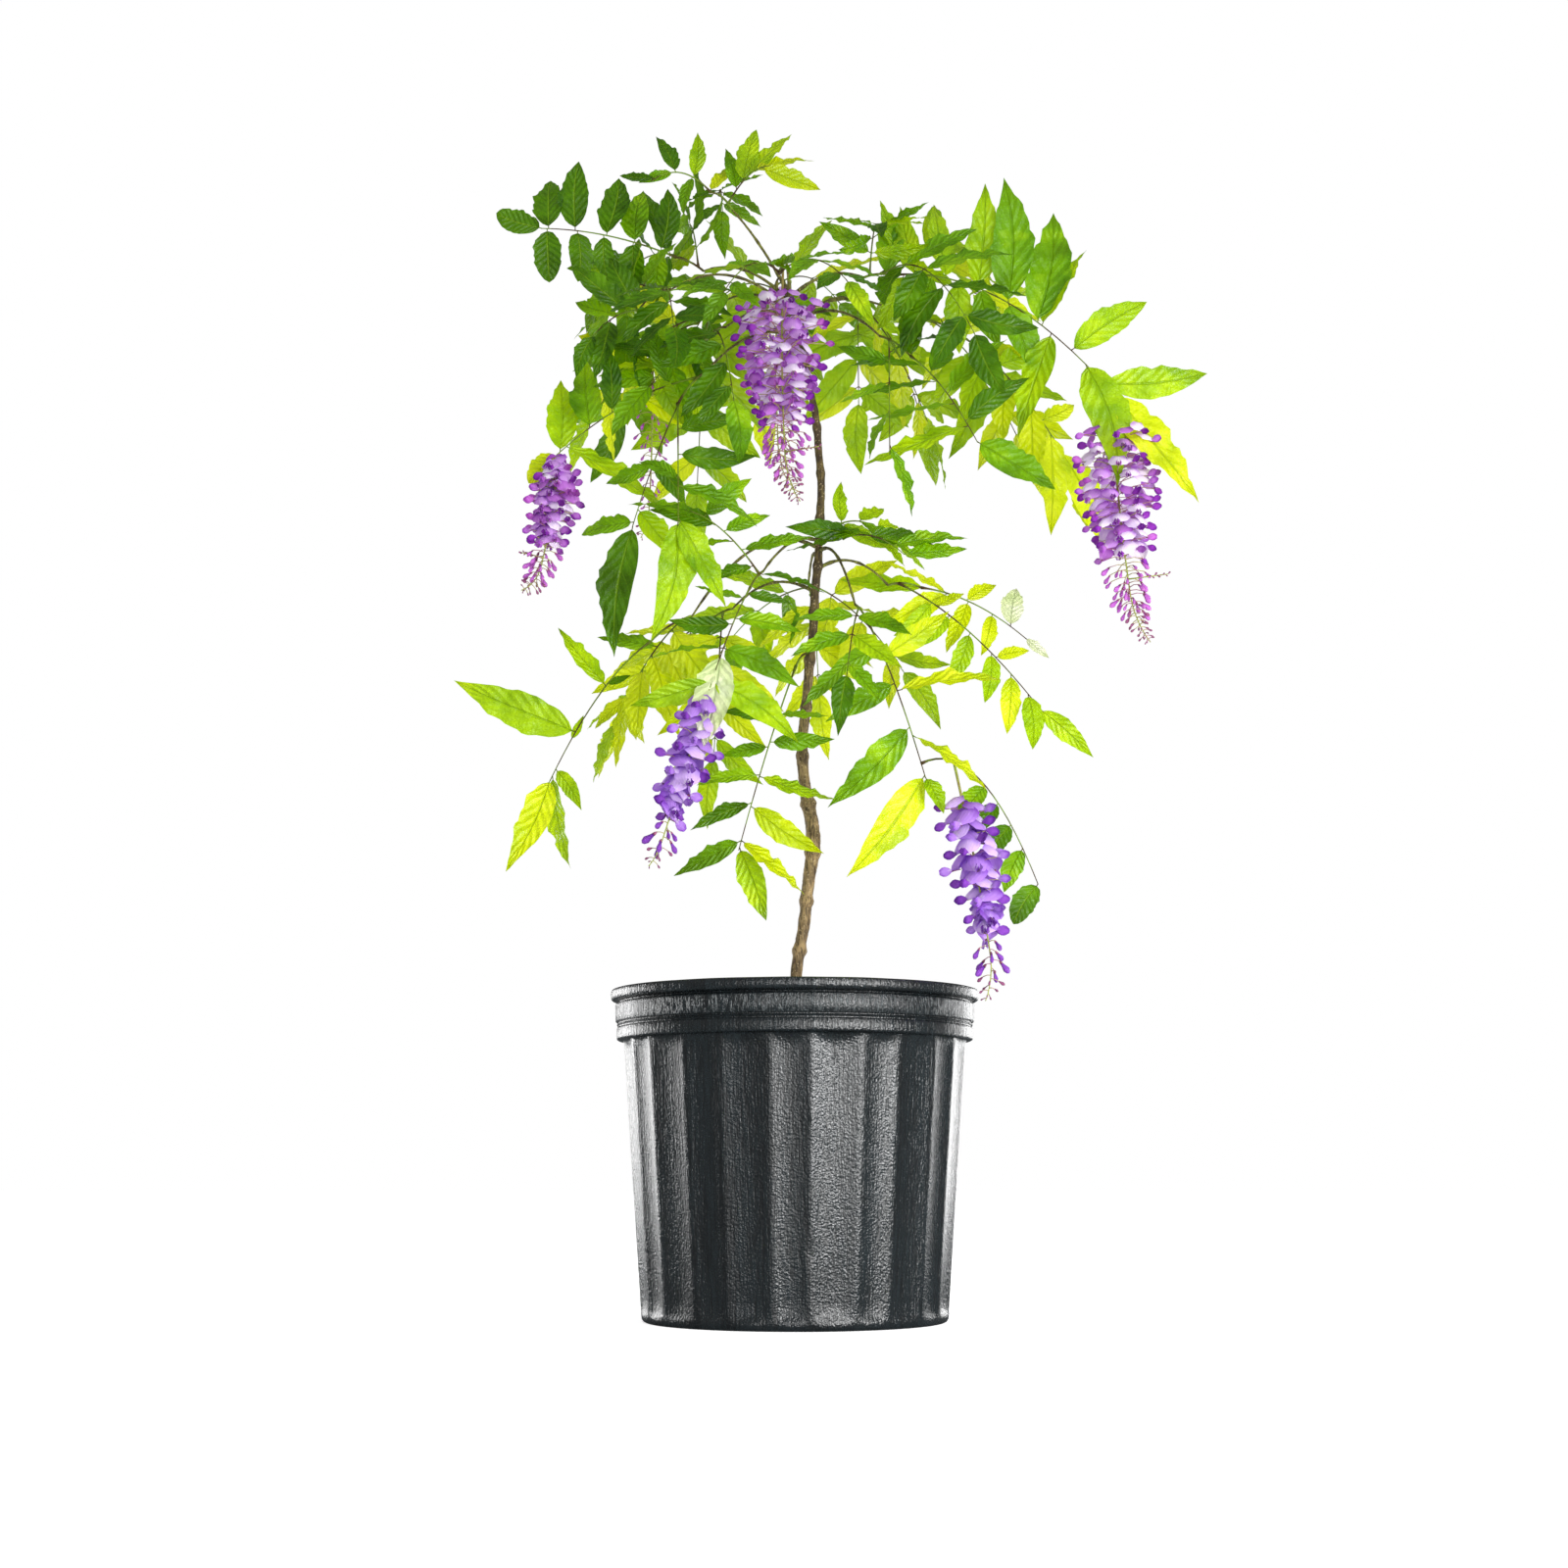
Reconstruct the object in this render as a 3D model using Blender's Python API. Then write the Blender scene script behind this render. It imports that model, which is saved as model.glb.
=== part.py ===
"""Potted amethyst falls wisteria: a thin twisted trunk with arching boughs in two tiers, masses of
pinnate leaves, and hanging racemes of blossom, in a fluted black nursery pot filled with compost.

Metres, +Z up. The origin is the centre of the pot's underside, and the side that faces -Y is the front.
Limbs are tapering tubes. A leaf is a three-sided midrib with paired blades fused on, a mass is the
leaves of one stem, and a raceme is a slim core with florets fused on. What can't be placed clear of
its neighbours is turned a little, and left out if that doesn't help.
"""

import math
import random
from collections import namedtuple

import bpy
from mathutils import Quaternion, Vector
from mathutils.bvhtree import BVHTree

MM = 0.001
CLEAR = 0.3
SEED = 7
GOLDEN_ANGLE = math.radians(137.5)
UP = Vector((0, 0, 1))

# The nursery pot, in millimetres and degrees
POT_HEIGHT = 245
RIM_RADIUS = 140
FOOT_RADIUS = 114
WALL_SLOPE = 0.0754
FLUTE_PAIRS = 12
WIDE_SHARE = 0.56
SEAM_TURN = 4.95
FLUTE_DEPTH = 2.6
FLUTE_FOOT = 6
FLUTE_TOP = 202
COLLAR_FOOT = 207
FLOOR = 3
FLOOR_RADIUS = 109
INNER_LEDGE_RADIUS = 124
INNER_MOUTH_RADIUS = 131

# The compost that fills it
SOIL_TOP = 214
SOIL_CLEAR = 0.5

# The trunk's course: height, x, y and radius
TRUNK_COURSE = (
    (SOIL_TOP + CLEAR, -4, 0, 8.5),
    (228, -3, 0, 5.2),
    (306, 8, 0, 4.5),
    (369, 14, 2, 5.4),
    (420, 6, 0, 4.2),
    (523, 14, -1, 3.6),
    (640, 21, 1, 3.0),
    (700, 17, 0, 2.8),
    (773, 4, 0, 2.6),
    (813, -8, 0, 2.4),
)
TRUNK_SIDES = 8
TRUNK_STEP = 30

# Limbs, stems, midribs and blades
BOUGH_RADIUS = 2.1
BOUGH_TIP_RADIUS = 1.5
BOUGH_SIDES = 5
BOUGH_STEPS = 5
STEM_RADIUS = 1.5
STEM_TIP_RADIUS = 1.25
STEM_STEPS = 3
MIDRIB_RADIUS = 1.15
MIDRIB_TIP_RADIUS = 0.75
MIDRIB_STEPS = 5
PETIOLE_SHARE = 0.24
LAST_PAIR = 0.9
BLADE_THICKNESS = 0.02
BLADE_WIDEST = 0.42
BLADE_DROOP = 0.1
GUARD_FOOT = 0.16
TURN_TRIES = (0, 14, -14, 28, -28)
ARCH_TRIES = (0, 7, -7, 14, -14)

Bough = namedtuple("Bough", "height tip lift")
Leaf = namedtuple("Leaf", "foot tip lift pairs blade slim spread face lost", defaults=((),))
Mass = namedtuple("Mass", "carrier tip lift leaves")
Raceme = namedtuple("Raceme", "carrier foot tip radius florets")

# Each bough leaves the trunk at a height and runs to its tip in one arch
BOUGHS = {
    "bough_leader": Bough(813, (-50, 5, 880), 4),
    "bough_front": Bough(796, (-10, -58, 800), 22),
    "bough_right_high": Bough(803, (56, -10, 816), 10),
    "bough_right_low": Bough(782, (66, -58, 748), 14),
    "bough_right_back": Bough(789, (92, 68, 814), 14),
    "bough_left_high": Bough(805, (-74, 30, 838), 12),
    "bough_left_arch": Bough(794, (-98, -24, 800), 20),
    "bough_left_mid": Bough(785, (-54, -38, 763), 10),
    "bough_left_low": Bough(768, (-68, -66, 716), 16),
    "bough_back": Bough(800, (-16, 92, 850), 14),
    "bough_back_left": Bough(790, (-66, 92, 832), 14),
    "bough_back_right": Bough(779, (50, 100, 842), 10),
    "bough_low_left": Bough(596, (-80, -18, 534), 26),
    "bough_low_front": Bough(600, (-24, -58, 560), 10),
    "bough_low_right": Bough(592, (46, -50, 536), 16),
    "bough_low_right_back": Bough(580, (76, 48, 577), 12),
    "bough_low_back": Bough(586, (12, 84, 588), 14),
    "bough_low_back_left": Bough(560, (-50, 58, 560), 14),
}

# A leaf's foot is a share of its stem's length, or the number of a leaf before it in the same mass
# with a share of that one's midrib. Its blade is the longest leaflet, slim is how many times longer
# than wide that is, spread is the angle of the first pair to the midrib, and face is where the upper
# side looks: degrees round from the front towards the right, then degrees upwards. Lost leaflets are
# the ones that have dropped, numbered from the foot, with the right-hand one of each pair first.
MASSES = {
    "crown_top": Mass("bough_leader", (-68, -2, 892), 4, (
        Leaf(1.0, (-114, -32, 888), 12, 4, 46, 2.9, 95, (0, 25)),
        Leaf(0.2, (-20, -34, 900), 8, 3, 46, 2.9, 62, (0, 20)),
        Leaf(0.6, (-60, 60, 906), 10, 3, 46, 2.9, 60, (180, 35)),
    )),
    "crown_front": Mass("bough_front", (-12, -74, 792), 4, (
        Leaf(0.9, (-52, -140, 752), 14, 3, 46, 2.9, 62, (-20, 30)),
        Leaf(1.0, (38, -136, 762), 14, 3, 46, 2.9, 62, (20, 30)),
    )),
    "crown_left_high": Mass("bough_left_high", (-97, 25, 848), 2, (
        Leaf(1.0, (-205, 0, 862), 6, 5, 50, 2.1, 92, (0, 8)),
        Leaf(0.2, (-88, 70, 896), 10, 3, 50, 2.3, 70, (150, 30)),
        Leaf(0.6, (-150, 104, 860), 14, 4, 52, 2.3, 70, (200, 30)),
    )),
    "crown_left": Mass("bough_left_arch", (-124, -32, 778), 6, (
        Leaf(1.0, (-158, -50, 750), 6, 3, 56, 2.3, 80, (0, 15)),
        Leaf(0.5, (-150, 34, 812), 12, 3, 54, 2.4, 70, (-90, 30)),
        Leaf(0.1, (-92, -96, 742), 12, 4, 52, 2.4, 70, (-10, 30)),
    )),
    "crown_left_mid": Mass("bough_left_mid", (-68, -47, 750), 3, (
        Leaf(1.0, (-110, -66, 706), 6, 4, 56, 2.5, 75, (0, 20)),
        Leaf(0.6, (-46, -110, 680), 14, 4, 56, 2.6, 64, (0, 25)),
    )),
    "crown_left_low": Mass("bough_left_low", (-90, -76, 686), 4, (
        Leaf(0.3, (-182, -60, 652), 10, 4, 68, 2.8, 100, (0, 12)),
        Leaf(1.0, (-86, -118, 580), 10, 4, 82, 3.1, 96, (0, 14)),
        Leaf(0.7, (-122, -84, 588), 8, 3, 74, 2.7, 70, (0, 10)),
    )),
    "crown_right_high": Mass("bough_right_high", (78, -14, 816), 2, (
        Leaf(1.0, (250, -40, 706), 30, 6, 84, 2.8, 92, (0, 10)),
        Leaf(0.7, (136, -92, 738), 26, 4, 62, 2.6, 66, (0, 20)),
        Leaf(0.2, (64, -72, 834), 12, 4, 46, 2.7, 76, (0, 24)),
        Leaf(0.6, (136, 30, 852), 10, 3, 62, 2.7, 64, (30, 30)),
    )),
    "crown_right_back": Mass("bough_right_back", (143, 84, 802), 5, (
        Leaf(1.0, (238, 110, 690), 14, 5, 72, 2.7, 74, (10, 10)),
        Leaf(0.4, (192, 152, 742), 16, 4, 66, 2.7, 66, (150, 20)),
        Leaf(0.7, (176, 148, 862), 16, 3, 62, 2.7, 66, (140, 30)),
    )),
    "crown_right_low": Mass("bough_right_low", (90, -66, 728), 3, (
        Leaf(1.0, (137, -96, 650), 8, 5, 62, 2.9, 84, (0, 16)),
        Leaf(0.3, (70, -120, 632), 14, 4, 46, 3.8, 74, (0, 20)),
    )),
    "crown_back": Mass("bough_back", (-18, 112, 850), 2, (
        Leaf(1.0, (-22, 208, 800), 26, 4, 64, 2.6, 64, (180, 30)),
        Leaf(0.5, (-84, 178, 850), 18, 3, 62, 2.6, 64, (200, 35)),
        Leaf(0.2, (40, 170, 868), 16, 3, 60, 2.6, 64, (160, 35)),
    )),
    "crown_back_left": Mass("bough_back_left", (-82, 106, 822), 2, (
        Leaf(1.0, (-150, 172, 768), 18, 3, 66, 2.6, 66, (215, 25)),
        Leaf(0.4, (-84, 176, 706), 20, 4, 64, 2.6, 64, (180, 20)),
        Leaf(0.7, (-166, 96, 742), 18, 3, 62, 2.6, 66, (240, 25)),
    )),
    "crown_back_right": Mass("bough_back_right", (62, 114, 834), 2, (
        Leaf(1.0, (112, 196, 776), 20, 3, 66, 2.6, 66, (150, 25)),
        Leaf(0.4, (58, 188, 782), 14, 4, 64, 2.6, 64, (180, 20)),
        Leaf(0.1, (112, 104, 738), 16, 3, 62, 2.6, 66, (110, 25)),
    )),
    "low_left": Mass("bough_low_left", (-112, -25, 512), 4, (
        Leaf(1.0, (-186, -30, 404), 14, 3, 86, 2.9, 96, (0, 12), (0, 2, 5)),
        Leaf(0.2, (-143, 40, 462), 10, 4, 52, 2.4, 66, (-20, 10)),
    )),
    "low_front": Mass("bough_low_front", (-34, -65, 545), 2, (
        Leaf(1.0, (-64, -86, 460), 6, 5, 62, 3.1, 66, (0, 22)),
        Leaf(0.3, (-78, -96, 596), 8, 3, 54, 3.0, 64, (0, 28)),
    )),
    "low_centre": Mass("trunk", (0, -22, 492), 4, (
        Leaf(0.9, (-42, -55, 346), 6, 6, 58, 3.4, 66, (0, 16)),
    )),
    "low_right": Mass("bough_low_right", (56, -56, 520), 2, (
        Leaf(1.0, (96, -85, 396), 8, 4, 76, 3.1, 68, (0, 18)),
        Leaf(0.3, (38, -106, 470), 8, 3, 52, 2.8, 64, (0, 22)),
        Leaf((0, 0.93), (182, -45, 322), 34, 4, 34, 1.8, 100, (0, 12), (0, 2, 4, 6)),
    )),
    "low_right_back": Mass("bough_low_right_back", (104, 57, 577), 3, (
        Leaf(1.0, (190, 78, 540), 8, 4, 58, 2.5, 72, (0, 24)),
        Leaf(0.3, (196, 36, 472), 12, 5, 56, 2.7, 66, (0, 16)),
    )),
    "low_collar": Mass("trunk", (38, -34, 592), 3, (
        Leaf(1.0, (82, -84, 566), 8, 3, 52, 3.0, 64, (0, 35)),
        Leaf(0.3, (70, 6, 610), 8, 3, 46, 3.0, 64, (60, 35)),
    )),
    "low_back": Mass("bough_low_back", (14, 100, 582), 2, (
        Leaf(1.0, (22, 186, 520), 16, 4, 62, 2.8, 64, (180, 25)),
        Leaf(0.5, (-62, 160, 548), 12, 3, 58, 2.8, 64, (200, 30)),
        Leaf(0.2, (92, 142, 528), 12, 3, 58, 2.8, 64, (150, 25)),
    )),
    "low_back_left": Mass("bough_low_back_left", (-70, 70, 552), 2, (
        Leaf(1.0, (-136, 112, 486), 14, 4, 60, 2.8, 66, (230, 20)),
        Leaf(0.4, (-66, 104, 446), 12, 4, 58, 3.0, 64, (190, 15)),
    )),
}

# A raceme hangs from a bough, or from the midrib of one leaf of a mass
RACEMES = {
    "raceme_centre": Raceme("bough_front", 0.86, (-5, -80, 602), 38, 28),
    "raceme_left": Raceme(("crown_left_low", 0), 0.99, (-198, -64, 537), 22, 18),
    "raceme_right": Raceme(("crown_right_high", 0), 0.98, (262, -46, 501), 35, 26),
    "raceme_low_left": Raceme(("low_front", 0), 0.98, (-105, -92, 323), 24, 18),
    "raceme_low_right": Raceme(("low_right", 2), 0.28, (146, -92, 225), 27, 20),
    "raceme_back": Raceme("bough_back", 0.84, (-12, 96, 676), 32, 16),
    "raceme_back_left": Raceme(("crown_back_left", 0), 0.6, (-126, 152, 640), 26, 14),
}
RACEME_SIDES = 6

# Down a raceme: share of its length, and girth as a share of its radius
RACEME_GIRTHS = ((0.12, 0.2), (0.2, 0.8), (0.4, 0.8), (0.65, 0.5), (0.85, 0.22), (1, 0.05))
RACEME_CORE = 0.7
PEDUNCLE_RADIUS = 1.2
FLORET_WIDEST = 0.7


def clear_scene():
    for old in list(bpy.data.objects):
        bpy.data.objects.remove(old, do_unlink=True)


def material(name, colour, roughness, metallic=0.0):
    made = bpy.data.materials.new(name)
    made.use_nodes = True
    shader = made.node_tree.nodes["Principled BSDF"]
    shader.inputs["Base Color"].default_value = (*colour, 1)
    shader.inputs["Roughness"].default_value = roughness
    shader.inputs["Metallic"].default_value = metallic
    return made


def mesh_object(name, points, faces, finish, smooth=False):
    """One object from points in millimetres and faces that look outwards."""
    mesh = bpy.data.meshes.new(name)
    mesh.from_pydata([Vector(p) * MM for p in points], [], faces)
    mesh.validate()
    if smooth:
        mesh.shade_smooth()
        mesh.set_sharp_from_angle(angle=math.radians(35))
    mesh.materials.append(finish)
    made = bpy.data.objects.new(name, mesh)
    bpy.context.scene.collection.objects.link(made)
    return made


def arch(foot, tip, lift):
    """A point on the arch from foot to tip for a share of its length, and the heading there."""
    foot, tip = Vector(foot), Vector(tip)
    middle = (foot + tip) / 2 + UP * lift * 2

    def at(share):
        back = 1 - share
        point = foot * back * back + middle * 2 * back * share + tip * share * share
        heading = (middle - foot) * back + (tip - middle) * share
        return point, heading.normalized()

    return at


def trunk_at(height):
    """The trunk's centre and radius at a height, on a smooth curve through its course."""
    course = TRUNK_COURSE
    height = min(max(height, course[0][0]), course[-1][0])
    i = max(k for k in range(len(course) - 1) if course[k][0] <= height)
    before, low, high, after = (course[min(max(k, 0), len(course) - 1)] for k in range(i - 1, i + 3))
    span = high[0] - low[0]
    t = (height - low[0]) / span
    found = []
    for k in (1, 2, 3):
        slope_low = (high[k] - before[k]) / (high[0] - before[0])
        slope_high = (after[k] - low[k]) / (after[0] - low[0])
        found.append(
            (2 * t**3 - 3 * t**2 + 1) * low[k] + (3 * t**2 - 2 * t**3) * high[k]
            + ((t**3 - 2 * t**2 + t) * slope_low + (t**3 - t**2) * slope_high) * span
        )
    return Vector((found[0], found[1], height)), found[2]


def trunk_heading(height):
    return (trunk_at(height + 4)[0] - trunk_at(height - 4)[0]).normalized()


def trunk_rings():
    """The heights of the trunk's rings."""
    foot, top = TRUNK_COURSE[0][0], TRUNK_COURSE[-1][0]
    steps = round((top - foot) / TRUNK_STEP)
    return [foot, foot + 5] + [foot + (top - foot) * k / steps for k in range(1, steps + 1)]


def trunk_side(height):
    """The trunk's centre and radius at a height as its tube has them, straight from ring to ring."""
    rings = trunk_rings()
    k = min(max(i for i, z in enumerate(rings) if z <= height), len(rings) - 2)
    (low, thick), (high, thin) = trunk_at(rings[k]), trunk_at(rings[k + 1])
    share = (height - rings[k]) / (rings[k + 1] - rings[k])
    return low.lerp(high, share), thick + (thin - thick) * share


def skin(rings):
    """Points and faces of a closed solid through rings of as many points each."""
    points = [point for ring in rings for point in ring]
    count = len(rings[0])
    faces = [tuple(reversed(range(count)))]
    for foot in range(0, len(points) - count, count):
        for k in range(count):
            j = (k + 1) % count
            faces.append((foot + k, foot + j, foot + count + j, foot + count + k))
    faces.append(tuple(range(len(points) - count, len(points))))
    return points, faces


def tube(points, headings, radii, sides):
    """A closed tapering tube, each ring square to its heading."""
    rings, across = [], headings[0].orthogonal()
    for point, heading, radius in zip(points, headings, radii):
        across = (across - heading * across.dot(heading)).normalized()
        other = heading.cross(across)
        rings.append([
            point + (across * math.cos(turn) + other * math.sin(turn)) * radius
            for turn in (math.tau * k / sides for k in range(sides))
        ])
    return skin(rings)


def limb(at, steps, foot_radius, tip_radius, sides, foot_heading=None):
    """A tube along an arch. foot_heading squares its first ring to what it stands on."""
    shares = [k / steps for k in range(steps + 1)]
    places = [at(share) for share in shares]
    headings = [heading for _, heading in places]
    if foot_heading is not None:
        headings[0] = foot_heading
    radii = [foot_radius + (tip_radius - foot_radius) * share for share in shares]
    return tube([point for point, _ in places], headings, radii, sides)


def along_chords(at, steps):
    """The arch as its tube follows it: straight from ring to ring."""
    def on_chord(share):
        ring = min(int(share * steps), steps - 1)
        low, high = at(ring / steps)[0], at((ring + 1) / steps)[0]
        return low.lerp(high, share * steps - ring), (high - low).normalized()

    return on_chord


def foot_on(centre, heading, radius, towards):
    """Where a limb that heads towards a point starts, just clear of the limb that carries it."""
    away = Vector(towards) - centre
    away -= heading * away.dot(heading)
    away.normalize()
    return centre + away * (radius + CLEAR), away


def blade(root, heading, normal, length, width, thickness, widest=BLADE_WIDEST):
    """A leaflet of eight faces: root, two sides, tip, and a ridge above and below."""
    side = heading.cross(normal).normalized()
    belly = root + heading * length * widest
    tip = root + heading * length - normal * length * BLADE_DROOP
    points = [
        root,
        belly + side * width / 2,
        tip,
        belly - side * width / 2,
        belly + normal * thickness / 2,
        belly - normal * thickness / 2,
    ]
    faces = []
    for k in range(4):
        faces += [(k, (k + 1) % 4, 4), ((k + 1) % 4, k, 5)]
    return points, faces


def face_vector(face):
    turn, tilt = (math.radians(angle) for angle in face)
    return Vector((math.sin(turn) * math.cos(tilt), -math.cos(turn) * math.cos(tilt), math.sin(tilt)))


def leaflets(leaf, at, seed):
    """The heading, normal, root, length and width of each leaflet, in pairs and then the end one."""
    draw = random.Random(seed)
    look = face_vector(leaf.face)
    for pair in range(leaf.pairs):
        share = PETIOLE_SHARE + (LAST_PAIR - PETIOLE_SHARE) * pair / max(leaf.pairs - 1, 1)
        root, along = at(share)
        normal = (look - along * look.dot(along)).normalized()
        side = normal.cross(along)
        for hand in (1, -1):
            angle = math.radians(leaf.spread * (1 - 0.32 * share) + draw.uniform(-8, 8))
            heading = (along * math.cos(angle) + side * hand * math.sin(angle)).normalized()
            turned = Quaternion(heading, math.radians(draw.uniform(-24, 24))) @ normal
            size = leaf.blade * (0.84 + 0.32 * math.sin(math.pi * share)) * draw.uniform(0.88, 1.04)
            if pair * 2 + (hand < 0) not in leaf.lost:
                yield heading, turned, root, size
    root, along = at(1.0)
    normal = (look - along * look.dot(along)).normalized()
    yield along, normal, root - along * 2, leaf.blade * 1.04


class Neighbours:
    """What has been placed so far, for telling whether a new piece would touch it."""

    def __init__(self):
        self.placed = []

    @staticmethod
    def shape(points, faces):
        centre = sum(points, Vector()) / len(points)
        reach = max((p - centre).length for p in points)
        return centre, reach, BVHTree.FromPolygons(points, faces)

    def add(self, owner, points, faces):
        self.placed.append((owner, *self.shape(points, faces)))

    def touches(self, points, faces, besides=()):
        centre, reach, tree = self.shape(points, faces)
        for owner, other_centre, other_reach, other_tree in self.placed:
            if owner in besides or (centre - other_centre).length > reach + other_reach:
                continue
            if tree.overlap(other_tree):
                return True
        return False


def fitted_blade(heading, normal, root, length, slim, mass, neighbours):
    """The leaflet, turned as little as leaves it clear of its neighbours, and its guard, or None.

    The guard is a fatter blade that leaves out the first part, which its own midrib runs through.
    """
    width = length / slim
    for turn in TURN_TRIES:
        way = Quaternion(normal, math.radians(turn)) @ heading
        start = root - way * MIDRIB_TIP_RADIUS * 0.6
        made = blade(start, way, normal, length, width, length * BLADE_THICKNESS)
        guard_foot = root + way * length * GUARD_FOOT
        guard = blade(guard_foot, way, normal, length * 0.88, width * 1.16, width * 0.3)
        if not neighbours.touches(*guard) and not neighbours.touches(*made, (mass,)):
            return made, guard
    return None


def fuse(name, shapes, finish):
    """One solid from shapes that overlap, by a union with a collection that is then removed."""
    base = mesh_object(name, *shapes[0], finish)
    helpers = bpy.data.collections.new(name + "_helpers")
    bpy.context.scene.collection.children.link(helpers)
    for k, (points, faces) in enumerate(shapes[1:]):
        mesh = bpy.data.meshes.new(f"{name}_{k}")
        mesh.from_pydata([Vector(p) * MM for p in points], [], faces)
        helpers.objects.link(bpy.data.objects.new(f"{name}_{k}", mesh))
    union = base.modifiers.new("fuse", "BOOLEAN")
    union.operation = "UNION"
    union.operand_type = "COLLECTION"
    union.collection = helpers
    union.solver = "MANIFOLD"
    bpy.context.view_layer.objects.active = base
    bpy.ops.object.modifier_apply(modifier=union.name)
    for helper in list(helpers.objects):
        bpy.data.objects.remove(helper, do_unlink=True)
    bpy.data.collections.remove(helpers)
    return base


def ring_at(z, radius, flute_depth=0):
    """A level ring of the pot. A wide and a narrow flute stand side by side between sharp ridges,
    and the first ridge is the mould seam, a little right of the front. Every other point lies in
    the middle of a flute and is pressed in by the depth."""
    ring = []
    for pair in range(FLUTE_PAIRS):
        for k, share in enumerate((0, WIDE_SHARE / 2, WIDE_SHARE, (1 + WIDE_SHARE) / 2)):
            angle = math.radians(SEAM_TURN - 90) + (pair + share) * math.tau / FLUTE_PAIRS
            reach = radius - flute_depth * (k % 2)
            ring.append((reach * math.cos(angle), reach * math.sin(angle), z))
    return ring


def build_pot(finish):
    """Up the fluted wall, out over the collar and lip, and down the plain inside to the floor."""
    low, high = (FOOT_RADIUS + WALL_SLOPE * z for z in (FLUTE_FOOT, FLUTE_TOP))
    rings = [
        ring_at(0, FOOT_RADIUS - 2),
        ring_at(FLUTE_FOOT, low, FLUTE_DEPTH),
        ring_at(FLUTE_TOP, high, FLUTE_DEPTH),
        ring_at(COLLAR_FOOT, high),
    ]
    for z, radius in (
        (COLLAR_FOOT + 0.8, RIM_RADIUS - 4.8),
        (216.6, RIM_RADIUS - 4.6),
        (218.2, RIM_RADIUS - 6.2),
        (219.8, RIM_RADIUS - 3.8),
        (234, RIM_RADIUS - 3.4),
        (235.2, RIM_RADIUS - 6.4),
        (236.8, RIM_RADIUS - 0.8),
        (241, RIM_RADIUS),
        (POT_HEIGHT, RIM_RADIUS - 1.8),
        (POT_HEIGHT, RIM_RADIUS - 5.5),
        (SOIL_TOP - 2, INNER_MOUTH_RADIUS),
        (COLLAR_FOOT, INNER_LEDGE_RADIUS),
        (FLOOR, FLOOR_RADIUS),
    ):
        rings.append(ring_at(z, radius))
    return mesh_object("pot", *skin(rings), finish, smooth=True)


def build_soil(finish):
    """The compost, which fills the pot to below the rim, clear of the wall and the floor."""
    rings = [
        ring_at(FLOOR + CLEAR, FLOOR_RADIUS - SOIL_CLEAR),
        ring_at(COLLAR_FOOT, INNER_LEDGE_RADIUS - SOIL_CLEAR),
        ring_at(SOIL_TOP - 2, INNER_MOUTH_RADIUS - SOIL_CLEAR),
        ring_at(SOIL_TOP, INNER_MOUTH_RADIUS - SOIL_CLEAR),
    ]
    return mesh_object("potting_soil", *skin(rings), finish, smooth=True)


def build_trunk(finish, neighbours):
    heights = trunk_rings()
    places = [trunk_at(z) for z in heights]
    headings = [UP if z == heights[0] else trunk_heading(z) for z in heights]
    shape = tube([p for p, _ in places], headings, [r for _, r in places], TRUNK_SIDES)
    neighbours.add("trunk", *shape)
    return mesh_object("trunk", *shape, finish, smooth=True)


def build_boughs(finish, neighbours):
    """Each bough, and the arch that it follows."""
    arches = {}
    for name, bough in BOUGHS.items():
        centre, radius = trunk_side(bough.height)
        if bough.height >= TRUNK_COURSE[-1][0]:
            away = trunk_heading(bough.height)
            foot = centre + away * CLEAR
        else:
            foot, away = foot_on(centre, trunk_heading(bough.height), radius, bough.tip)
        at = arch(foot, bough.tip, bough.lift)
        shape = limb(at, BOUGH_STEPS, BOUGH_RADIUS, BOUGH_TIP_RADIUS, BOUGH_SIDES, away)
        neighbours.add(name, *shape)
        mesh_object(name, *shape, finish, smooth=True)
        arches[name] = along_chords(at, BOUGH_STEPS)
    return arches


def stem_arch(mass, arches):
    """The arch of a mass's stem, and the heading that its first ring squares to."""
    if mass.carrier == "trunk":
        height = mass.tip[2] + 16
        centre, radius = trunk_side(height)
        foot, away = foot_on(centre, trunk_heading(height), radius, mass.tip)
    else:
        tip, away = arches[mass.carrier](1.0)
        foot = tip + away * CLEAR
    return arch(foot, mass.tip, mass.lift), away


def clear_midrib(foot, leaf, name, neighbours):
    """A leaf's midrib, arched as much more or less as keeps it clear of other limbs, or None."""
    for more in ARCH_TRIES:
        rib = arch(foot, leaf.tip, leaf.lift + more)
        shape = limb(rib, MIDRIB_STEPS, MIDRIB_RADIUS, MIDRIB_TIP_RADIUS, 3)
        if not neighbours.touches(*shape, (name,)):
            return rib, shape
    return None


def plan_masses(arches, neighbours):
    """The stem and midribs of each mass, as shapes, and its leaves with the arch of each."""
    shapes, stems, grown = {}, {}, {}
    for name, mass in MASSES.items():
        at, away = stem_arch(mass, arches)
        shapes[name] = [limb(at, STEM_STEPS, STEM_RADIUS, STEM_TIP_RADIUS, 3, away)]
        neighbours.add(name, *shapes[name][0])
        stems[name] = along_chords(at, STEM_STEPS)
    for name, mass in MASSES.items():
        grown[name] = []
        for leaf in mass.leaves:
            if isinstance(leaf.foot, tuple):
                other, share = leaf.foot
                foot = grown[name][other][1](share)[0]
            else:
                foot = stems[name](min(max(leaf.foot, 0.2), 0.97))[0]
            found = clear_midrib(foot, leaf, name, neighbours)
            if found is None:
                continue
            rib, shape = found
            shapes[name].append(shape)
            neighbours.add(name, *shape)
            grown[name].append((leaf, along_chords(rib, MIDRIB_STEPS)))
    return shapes, grown


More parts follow.
